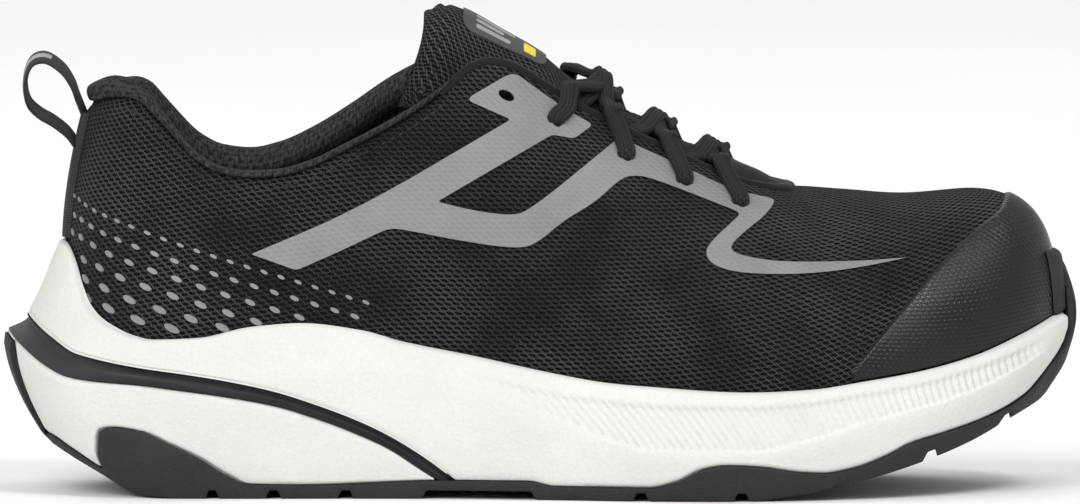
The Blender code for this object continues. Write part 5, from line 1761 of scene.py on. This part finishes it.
# Marks on the label: from and to along the tongue, from and to across it, and their finish
LABEL_MARKS = (
    ((-4.8, -1.6), (-0.37, -0.17), "accent"),
    ((-18.0, -8.6), (-0.37, -0.31), "label_mark"),
    ((-18.0, -10.4), (-0.27, -0.21), "label_mark"),
    ((-18.0, -7.2), (-0.17, -0.11), "label_mark"),
)


def build_tongue_label():
    """The label over the crest of the tongue, with plain raised marks."""
    patches = [label_patch(
        "label", (-21.5, 1.4), (-0.44, 0.44), corner=3.0, lift=0.55, thickness=0.9, material=finish("label"))]
    for places, across, look in LABEL_MARKS:
        patches.append(label_patch(
            "mark", places, across, corner=0.4, lift=0.75, thickness=0.4, material=finish(look)))
    piece = join(patches, "tongue_label_plate")
    settle(piece, None, "label", "tongue_label")


BACKSTAY_SIDE = -146.8
BACKSTAY_TOP = 0.94
BACKSTAY_LIFT = 0.1
BACKSTAY_PROUD = 1.5


def build_backstay():
    """The strip up the back of the heel, with a sewn line along each edge."""
    near = round_stations(120, HEEL_END, HEEL_ROUND, HEEL_POWER)
    half = near[near < BACKSTAY_SIDE]
    low = rim(HEEL_END) + 0.8
    columns = []
    for side, places in ((MEDIAL, half[::-1]), (LATERAL, half[1:])):
        first = shares_at(places, side, np.full((len(places), 1), low))
        shares = first + (BACKSTAY_TOP - first) * np.linspace(0, 1, BACKSTAY_ROWS)
        columns.append(upper_grid(places, side, shares))
    points = np.concatenate(columns)
    normals = unit(np.cross(np.gradient(points, axis=0), np.gradient(points, axis=1)))
    span = np.linalg.norm(points - points[len(half) - 1], axis=-1)
    room = span.max(axis=0) - span
    sewn = 0.35 * np.exp(-(((room - 2.6) / 0.6) ** 2))
    lift = BACKSTAY_LIFT + BACKSTAY_PROUD * ease(room / 1.3 + 0.1) - sewn
    piece = sheet("backstay_strip", points + normals * lift[..., None])
    modify(piece, "SOLIDIFY", thickness=SKIN_THICKNESS * MM, offset=-1)
    mend(piece)
    settle(piece, finish("webbing"), "webbing", "backstay")


LOOP_WIDTH = 13.0
LOOP_THICKNESS = 1.2
LOOP_TILT = math.radians(11)
STRIPE_WIDTH = 4.2
STRIPE_THICKNESS = 0.35
STRIPE_SPAN = slice(38, 70)


def tape_section(width, thickness, ribs_across, rib_height):
    """The outline of a flat tape with rounded edges and lengthwise ribs."""
    w = np.sin(np.linspace(-math.pi / 2, math.pi / 2, 21))
    half = thickness / 2 * np.sqrt(np.clip(1 - np.abs(w) ** 6, 0.02, 1))
    ridge = rib_height * np.abs(np.cos(ribs_across * math.pi / 2 * w)) * (1 - w**8)
    top = np.stack([w * width / 2, half + ridge], -1)
    bottom = np.stack([w * width / 2, -half - ridge * 0.5], -1)[::-1]
    return np.concatenate([top, bottom])


def build_pull_loop():
    """The tape loop at the heel, with a pale stripe along its middle."""
    path = spline([(x, 0.0, z) for x, z in LOOP_PATH], 8)
    way = unit(np.gradient(path, axis=0))
    wide = np.array([0.0, math.cos(LOOP_TILT), math.sin(LOOP_TILT)])
    highs = unit(np.cross(way, wide))
    tape = sweep("pull_loop_tape", path, highs, tape_section(LOOP_WIDTH, LOOP_THICKNESS, 1, 0.0))
    tape.data.materials.append(finish("webbing"))
    faces = highs[STRIPE_SPAN]
    stripe_path = path[STRIPE_SPAN] - faces * (LOOP_THICKNESS / 2 + 0.05)
    stripe = sweep("stripe", stripe_path, faces, tape_section(STRIPE_WIDTH, STRIPE_THICKNESS, 1, 0.0))
    stripe.data.materials.append(finish("label_mark"))
    piece = join([tape, stripe], "pull_loop_tape")
    settle(piece, None, "webbing", "pull_loop")


LACE_WIDTH = 5.2
LACE_THICKNESS = 2.1
LACE_RIBS = 3
LACE_RIB_HEIGHT = 0.34
OVER_LIFT = 1.7

# Strands of the lace: the eyelet that each comes out of, where it tucks under the other edge, and how far
# over the tongue it lies
LACE_STRANDS = (
    (1, 21.0, 4.2),
    (2, 10.0, 2.2),
    (3, 26.0, 2.2),
    (4, 41.0, 2.2),
)


def lace_strand(number, tuck, lift, side):
    """A flat strand out of an eyelet, over its edge and the tongue, and in under the other edge."""
    place, drop = EYELETS[number]
    point, normal, up = eyelet(place, drop, side)
    over = place + 0.22 * (tuck - place)
    edge = upper_point(float(station_of(over)), side, 1.0)
    out = outward(station_of(over), side)
    far_edge = upper_point(float(station_of(tuck)), -side, 1.0)
    far_out = outward(station_of(tuck), -side)
    middle = 0.5 * (over + tuck)
    slope = (read(TONGUE, "z", middle + 5) - read(TONGUE, "z", middle - 5)) / 10
    face = unit(np.array([-slope, 0.0, 1.0]))

    def on_tongue(at, across, height):
        at, across = np.array(at), np.array(across)
        return tongue_points(at, across, np.array(0.0)) + face * height

    stops = [
        (point - normal * 5.0, -up),
        (point - normal * 1.2 - up * 0.2, -up),
        (point + normal * 1.5 + up * 0.9, unit(normal - up * 0.4)),
        (point * 0.45 + edge * 0.55 + normal * 1.9, normal),
        (edge + out * 1.3 + UP * 2.9, unit(normal + 0.6 * UP)),
        (edge - out * 1.2 + UP * 4.1, unit(UP + 0.35 * out)),
        (on_tongue(over + 0.3 * (tuck - over), 0.42 * side, lift), face),
        (on_tongue(middle, 0.0, lift), face),
        (on_tongue(over + 0.75 * (tuck - over), -0.45 * side, 1.6), face),
        (far_edge - far_out * 3.6 - UP * 0.6, unit(face - 0.4 * far_out)),
        (far_edge - far_out * 3.2 - UP * 6.5, unit(-far_out)),
    ]
    path = spline([stop[0] for stop in stops], 9)
    highs = unit(spline([stop[1] for stop in stops], 9))
    return sweep("lace", path, highs, tape_section(LACE_WIDTH, LACE_THICKNESS, LACE_RIBS, LACE_RIB_HEIGHT))


def build_lace():
    """The strands of both sides. Those from the inner side pass over the others."""
    strands = []
    for side in (LATERAL, MEDIAL):
        for number, tuck, lift in LACE_STRANDS:
            strands.append(lace_strand(number, tuck, lift + OVER_LIFT * (side == MEDIAL), side))
    piece = join(strands, "lace_tape")
    settle(piece, finish("lace"), "lace_cord", "lace", angle=50)


# Stage
FLOOR_SIZE = 24.0
KEY_WAY = (0.42, 1.0, -0.72)
KEY_SPREAD = math.radians(35)
LIGHT_TARGET = (0.0, 0.0, 0.06)
TOE_BOX = ((0.8, -1.15, 1.8), (0.32, 0.6))
BACK_BOX = ((-0.4, 1.6, 1.4), (1.6, 0.7))
SENSOR_WIDTH = 36.0
VIEW_END = 200.0


def facing(way):
    """The turn that makes a light look along a direction."""
    return way.to_track_quat("-Z", "Y").to_euler()


def soft_box(name, place, size, power):
    """A large area light that looks at the shoe."""
    select_only()
    bpy.ops.object.light_add(type="AREA", location=place)
    light = bpy.context.object
    light.name = name
    light.data.shape = "RECTANGLE"
    light.data.size, light.data.size_y = size
    light.data.energy = power
    light.rotation_euler = facing(Vector(LIGHT_TARGET) - Vector(place))


def build_stage():
    """The floor, the white room, the lights and the camera."""
    scene = bpy.context.scene
    stage = scene.trainer_stage
    select_only()
    bpy.ops.mesh.primitive_grid_add(x_subdivisions=8, y_subdivisions=8, size=FLOOR_SIZE)
    floor = bpy.context.object
    floor.name = "floor"
    floor.data.materials.append(finish("floor"))
    world = bpy.data.worlds.new("studio")
    world.use_nodes = True
    room = world.node_tree.nodes["Background"].inputs
    room["Color"].default_value = (1.0, 1.0, 1.0, 1.0)
    room["Strength"].default_value = stage.room_light
    scene.world = world
    select_only()
    bpy.ops.object.light_add(type="SUN")
    sun = bpy.context.object
    sun.name = "key"
    sun.data.energy = stage.key_strength
    sun.data.angle = KEY_SPREAD
    sun.rotation_euler = facing(Vector(KEY_WAY))
    soft_box("toe", *TOE_BOX, stage.toe_power)
    soft_box("back", *BACK_BOX, stage.back_power)
    scene.view_settings.view_transform = "Standard"
    target = Vector((0.0, 0.0, stage.look_height))
    away = Vector((0.0, -math.cos(stage.elevation), math.sin(stage.elevation)))
    bpy.ops.object.camera_add(location=target + away * stage.distance)
    camera = bpy.context.object
    camera.rotation_euler = (math.pi / 2 - stage.elevation, 0.0, 0.0)
    camera.data.sensor_width = SENSOR_WIDTH
    camera.data.lens = SENSOR_WIDTH * stage.distance / stage.frame_width
    camera.data.clip_end = VIEW_END
    scene.camera = camera


# Add-on
def colour(name, description, default):
    return bpy.props.FloatVectorProperty(
        name=name, description=description, default=default, size=3, min=0.0, max=1.0, subtype="COLOR")


def length(name, description, default):
    return bpy.props.FloatProperty(
        name=name, description=description, default=default, min=0.0, unit="LENGTH")


def power(name, description, default):
    return bpy.props.FloatProperty(
        name=name, description=description, default=default, min=0.0, unit="POWER")


class TrainerColours(bpy.types.PropertyGroup):
    """Colours of the shoe's materials and of the floor."""

    knit: colour("Knit", "Yarn of the upper", (0.0155, 0.0155, 0.016))
    lining: colour("Lining", "Collar and lining cloth", (0.024, 0.024, 0.0245))
    film: colour("Film", "Film welded on the sides", (0.226, 0.234, 0.241))
    guard: colour("Toe guard", "Film over the toe", (0.003, 0.003, 0.0031))
    foam: colour("Foam", "Both foams of the sole", (0.68, 0.675, 0.655))
    rubber: colour("Rubber", "Outsole", (0.027, 0.027, 0.028))
    plate: colour("Plate", "Plate between the foams", (0.03, 0.032, 0.035))
    binding: colour("Binding", "Rolled edge of the throat", (0.012, 0.012, 0.013))
    lace: colour("Lace", "Flat lace", (0.026, 0.026, 0.027))
    webbing: colour("Webbing", "Pull loop, strip up the heel and stitches", (0.046, 0.046, 0.048))
    label: colour("Label", "Label on the tongue", (0.072, 0.072, 0.075))
    label_mark: colour("Marks", "Plain bars and stripe", (0.3, 0.3, 0.31))
    accent: colour("Accent", "Small block on the label", (0.75, 0.62, 0.05))
    insole: colour("Insole", "Cloth of the insole", (0.04, 0.04, 0.044))
    floor: colour("Floor", "Studio floor", (0.98, 0.98, 0.98))


class TrainerSizes(bpy.types.PropertyGroup):
    """Sizes of the shoe's patterns."""

    knit_cell: length("Knit cell", "Width of an open cell of the knit", 0.0023)
    knit_row: length("Knit row", "Height of a row of cells", 0.0013)
    lace_rib: length("Lace rib", "Width of a rib of the lace", 0.0011)


class TrainerStage(bpy.types.PropertyGroup):
    """Camera and light."""

    distance: length("Camera distance", "From the camera to the shoe", 6.0)
    frame_width: length("Frame width", "Width that the picture takes in at the shoe", 0.30164)
    look_height: length("Look height", "Height that the camera looks at", 0.0661)
    elevation: bpy.props.FloatProperty(
        name="Elevation", description="Angle of the camera above level", default=SIDE_TILT, unit="ROTATION")
    room_light: bpy.props.FloatProperty(
        name="Room light", description="Brightness of the white studio round the shoe", default=0.61, min=0.0)
    key_strength: bpy.props.FloatProperty(
        name="Key strength", description="Broad soft light from in front and the left", default=1.6, min=0.0)
    toe_power: power("Toe power", "Soft box over the toe, in front and to the right", 11.5)
    back_power: power("Back power", "Soft box over and behind the shoe", 4.0)


class TRAINER_OT_outsole(bpy.types.Operator):
    """Model the rubber outsole with its lugs and bumpers"""

    bl_idname = "trainer.outsole"
    bl_label = "Outsole"

    def execute(self, context):
        build_outsole()
        return {"FINISHED"}


class TRAINER_OT_midsole(bpy.types.Operator):
    """Model the upper foam with its ribbed side"""

    bl_idname = "trainer.midsole"
    bl_label = "Midsole"

    def execute(self, context):
        build_midsole()
        return {"FINISHED"}


class TRAINER_OT_heel_wedge(bpy.types.Operator):
    """Model the lower foam under the heel"""

    bl_idname = "trainer.heel_wedge"
    bl_label = "Heel wedge"

    def execute(self, context):
        build_heel_wedge()
        return {"FINISHED"}


class TRAINER_OT_heel_plate(bpy.types.Operator):
    """Model the grooved plate between the foams"""

    bl_idname = "trainer.heel_plate"
    bl_label = "Heel plate"

    def execute(self, context):
        build_heel_plate()
        return {"FINISHED"}


class TRAINER_OT_upper(bpy.types.Operator):
    """Model the knit upper with its eyelets"""

    bl_idname = "trainer.upper"
    bl_label = "Upper"

    def execute(self, context):
        build_upper()
        return {"FINISHED"}


class TRAINER_OT_insole(bpy.types.Operator):
    """Model the insole"""

    bl_idname = "trainer.insole"
    bl_label = "Insole"

    def execute(self, context):
        build_insole()
        return {"FINISHED"}


class TRAINER_OT_toe_cap(bpy.types.Operator):
    """Model the film over the toe"""

    bl_idname = "trainer.toe_cap"
    bl_label = "Toe guard"

    def execute(self, context):
        build_toe_cap()
        return {"FINISHED"}


class TRAINER_OT_films(bpy.types.Operator):
    """Model the grey film on both sides"""

    bl_idname = "trainer.films"
    bl_label = "Side films"

    def execute(self, context):
        build_films()
        return {"FINISHED"}


class TRAINER_OT_heel_dots(bpy.types.Operator):
    """Model the dots printed round the heel"""

    bl_idname = "trainer.heel_dots"
    bl_label = "Heel dots"

    def execute(self, context):
        build_heel_dots()
        return {"FINISHED"}


class TRAINER_OT_collar(bpy.types.Operator):
    """Model the padded collar"""

    bl_idname = "trainer.collar"
    bl_label = "Collar"

    def execute(self, context):
        build_collar()
        return {"FINISHED"}


class TRAINER_OT_stitches(bpy.types.Operator):
    """Model the stitches under the collar's seam"""

    bl_idname = "trainer.stitches"
    bl_label = "Collar stitches"

    def execute(self, context):
        build_stitches()
        return {"FINISHED"}


class TRAINER_OT_throat_edge(bpy.types.Operator):
    """Model the rolled binding of the throat"""

    bl_idname = "trainer.throat_edge"
    bl_label = "Throat binding"

    def execute(self, context):
        build_throat_edge()
        return {"FINISHED"}


class TRAINER_OT_tongue(bpy.types.Operator):
    """Model the padded tongue"""

    bl_idname = "trainer.tongue"
    bl_label = "Tongue"

    def execute(self, context):
        build_tongue()
        return {"FINISHED"}


class TRAINER_OT_tongue_label(bpy.types.Operator):
    """Model the label on the tongue"""

    bl_idname = "trainer.tongue_label"
    bl_label = "Tongue label"

    def execute(self, context):
        build_tongue_label()
        return {"FINISHED"}


class TRAINER_OT_backstay(bpy.types.Operator):
    """Model the strip up the heel"""

    bl_idname = "trainer.backstay"
    bl_label = "Backstay"

    def execute(self, context):
        build_backstay()
        return {"FINISHED"}


class TRAINER_OT_pull_loop(bpy.types.Operator):
    """Model the tape loop at the heel"""

    bl_idname = "trainer.pull_loop"
    bl_label = "Pull loop"

    def execute(self, context):
        build_pull_loop()
        return {"FINISHED"}


class TRAINER_OT_lace(bpy.types.Operator):
    """Model the lace through its eyelets"""

    bl_idname = "trainer.lace"
    bl_label = "Lace"

    def execute(self, context):
        build_lace()
        return {"FINISHED"}


class TRAINER_OT_stage(bpy.types.Operator):
    """Set the floor, the lights and the camera"""

    bl_idname = "trainer.stage"
    bl_label = "Stage"

    def execute(self, context):
        build_stage()
        return {"FINISHED"}


OPERATORS = (
    TRAINER_OT_outsole,
    TRAINER_OT_midsole,
    TRAINER_OT_heel_wedge,
    TRAINER_OT_heel_plate,
    TRAINER_OT_upper,
    TRAINER_OT_insole,
    TRAINER_OT_toe_cap,
    TRAINER_OT_films,
    TRAINER_OT_heel_dots,
    TRAINER_OT_collar,
    TRAINER_OT_stitches,
    TRAINER_OT_throat_edge,
    TRAINER_OT_tongue,
    TRAINER_OT_tongue_label,
    TRAINER_OT_backstay,
    TRAINER_OT_pull_loop,
    TRAINER_OT_lace,
    TRAINER_OT_stage,
)


SETTINGS = {"trainer_colours": TrainerColours, "trainer_sizes": TrainerSizes, "trainer_stage": TrainerStage}


class VIEW3D_PT_trainer(bpy.types.Panel):
    """Lists the shoe's pieces in the order in which they are made"""

    bl_label = "Safety trainer"
    bl_space_type = "VIEW_3D"
    bl_region_type = "UI"
    bl_category = "Safety trainer"

    def draw(self, context):
        for operator in OPERATORS:
            self.layout.operator(operator.bl_idname)
        for group, cls in SETTINGS.items():
            box = self.layout.box()
            for name in cls.__annotations__:
                box.prop(getattr(context.scene, group), name)


def register():
    for cls in (*SETTINGS.values(), *OPERATORS, VIEW3D_PT_trainer):
        bpy.utils.register_class(cls)
    for name, cls in SETTINGS.items():
        setattr(bpy.types.Scene, name, bpy.props.PointerProperty(type=cls))


def unregister():
    for name in SETTINGS:
        delattr(bpy.types.Scene, name)
    for cls in (VIEW3D_PT_trainer, *OPERATORS[::-1], *SETTINGS.values()):
        bpy.utils.unregister_class(cls)


def main():
    register()
    bpy.ops.trainer.outsole()
    bpy.ops.trainer.midsole()
    bpy.ops.trainer.heel_wedge()
    bpy.ops.trainer.heel_plate()
    bpy.ops.trainer.upper()
    bpy.ops.trainer.insole()
    bpy.ops.trainer.toe_cap()
    bpy.ops.trainer.films()
    bpy.ops.trainer.heel_dots()
    bpy.ops.trainer.collar()
    bpy.ops.trainer.stitches()
    bpy.ops.trainer.throat_edge()
    bpy.ops.trainer.tongue()
    bpy.ops.trainer.tongue_label()
    bpy.ops.trainer.backstay()
    bpy.ops.trainer.pull_loop()
    bpy.ops.trainer.lace()
    bpy.ops.trainer.stage()


if __name__ == "__main__":
    main()
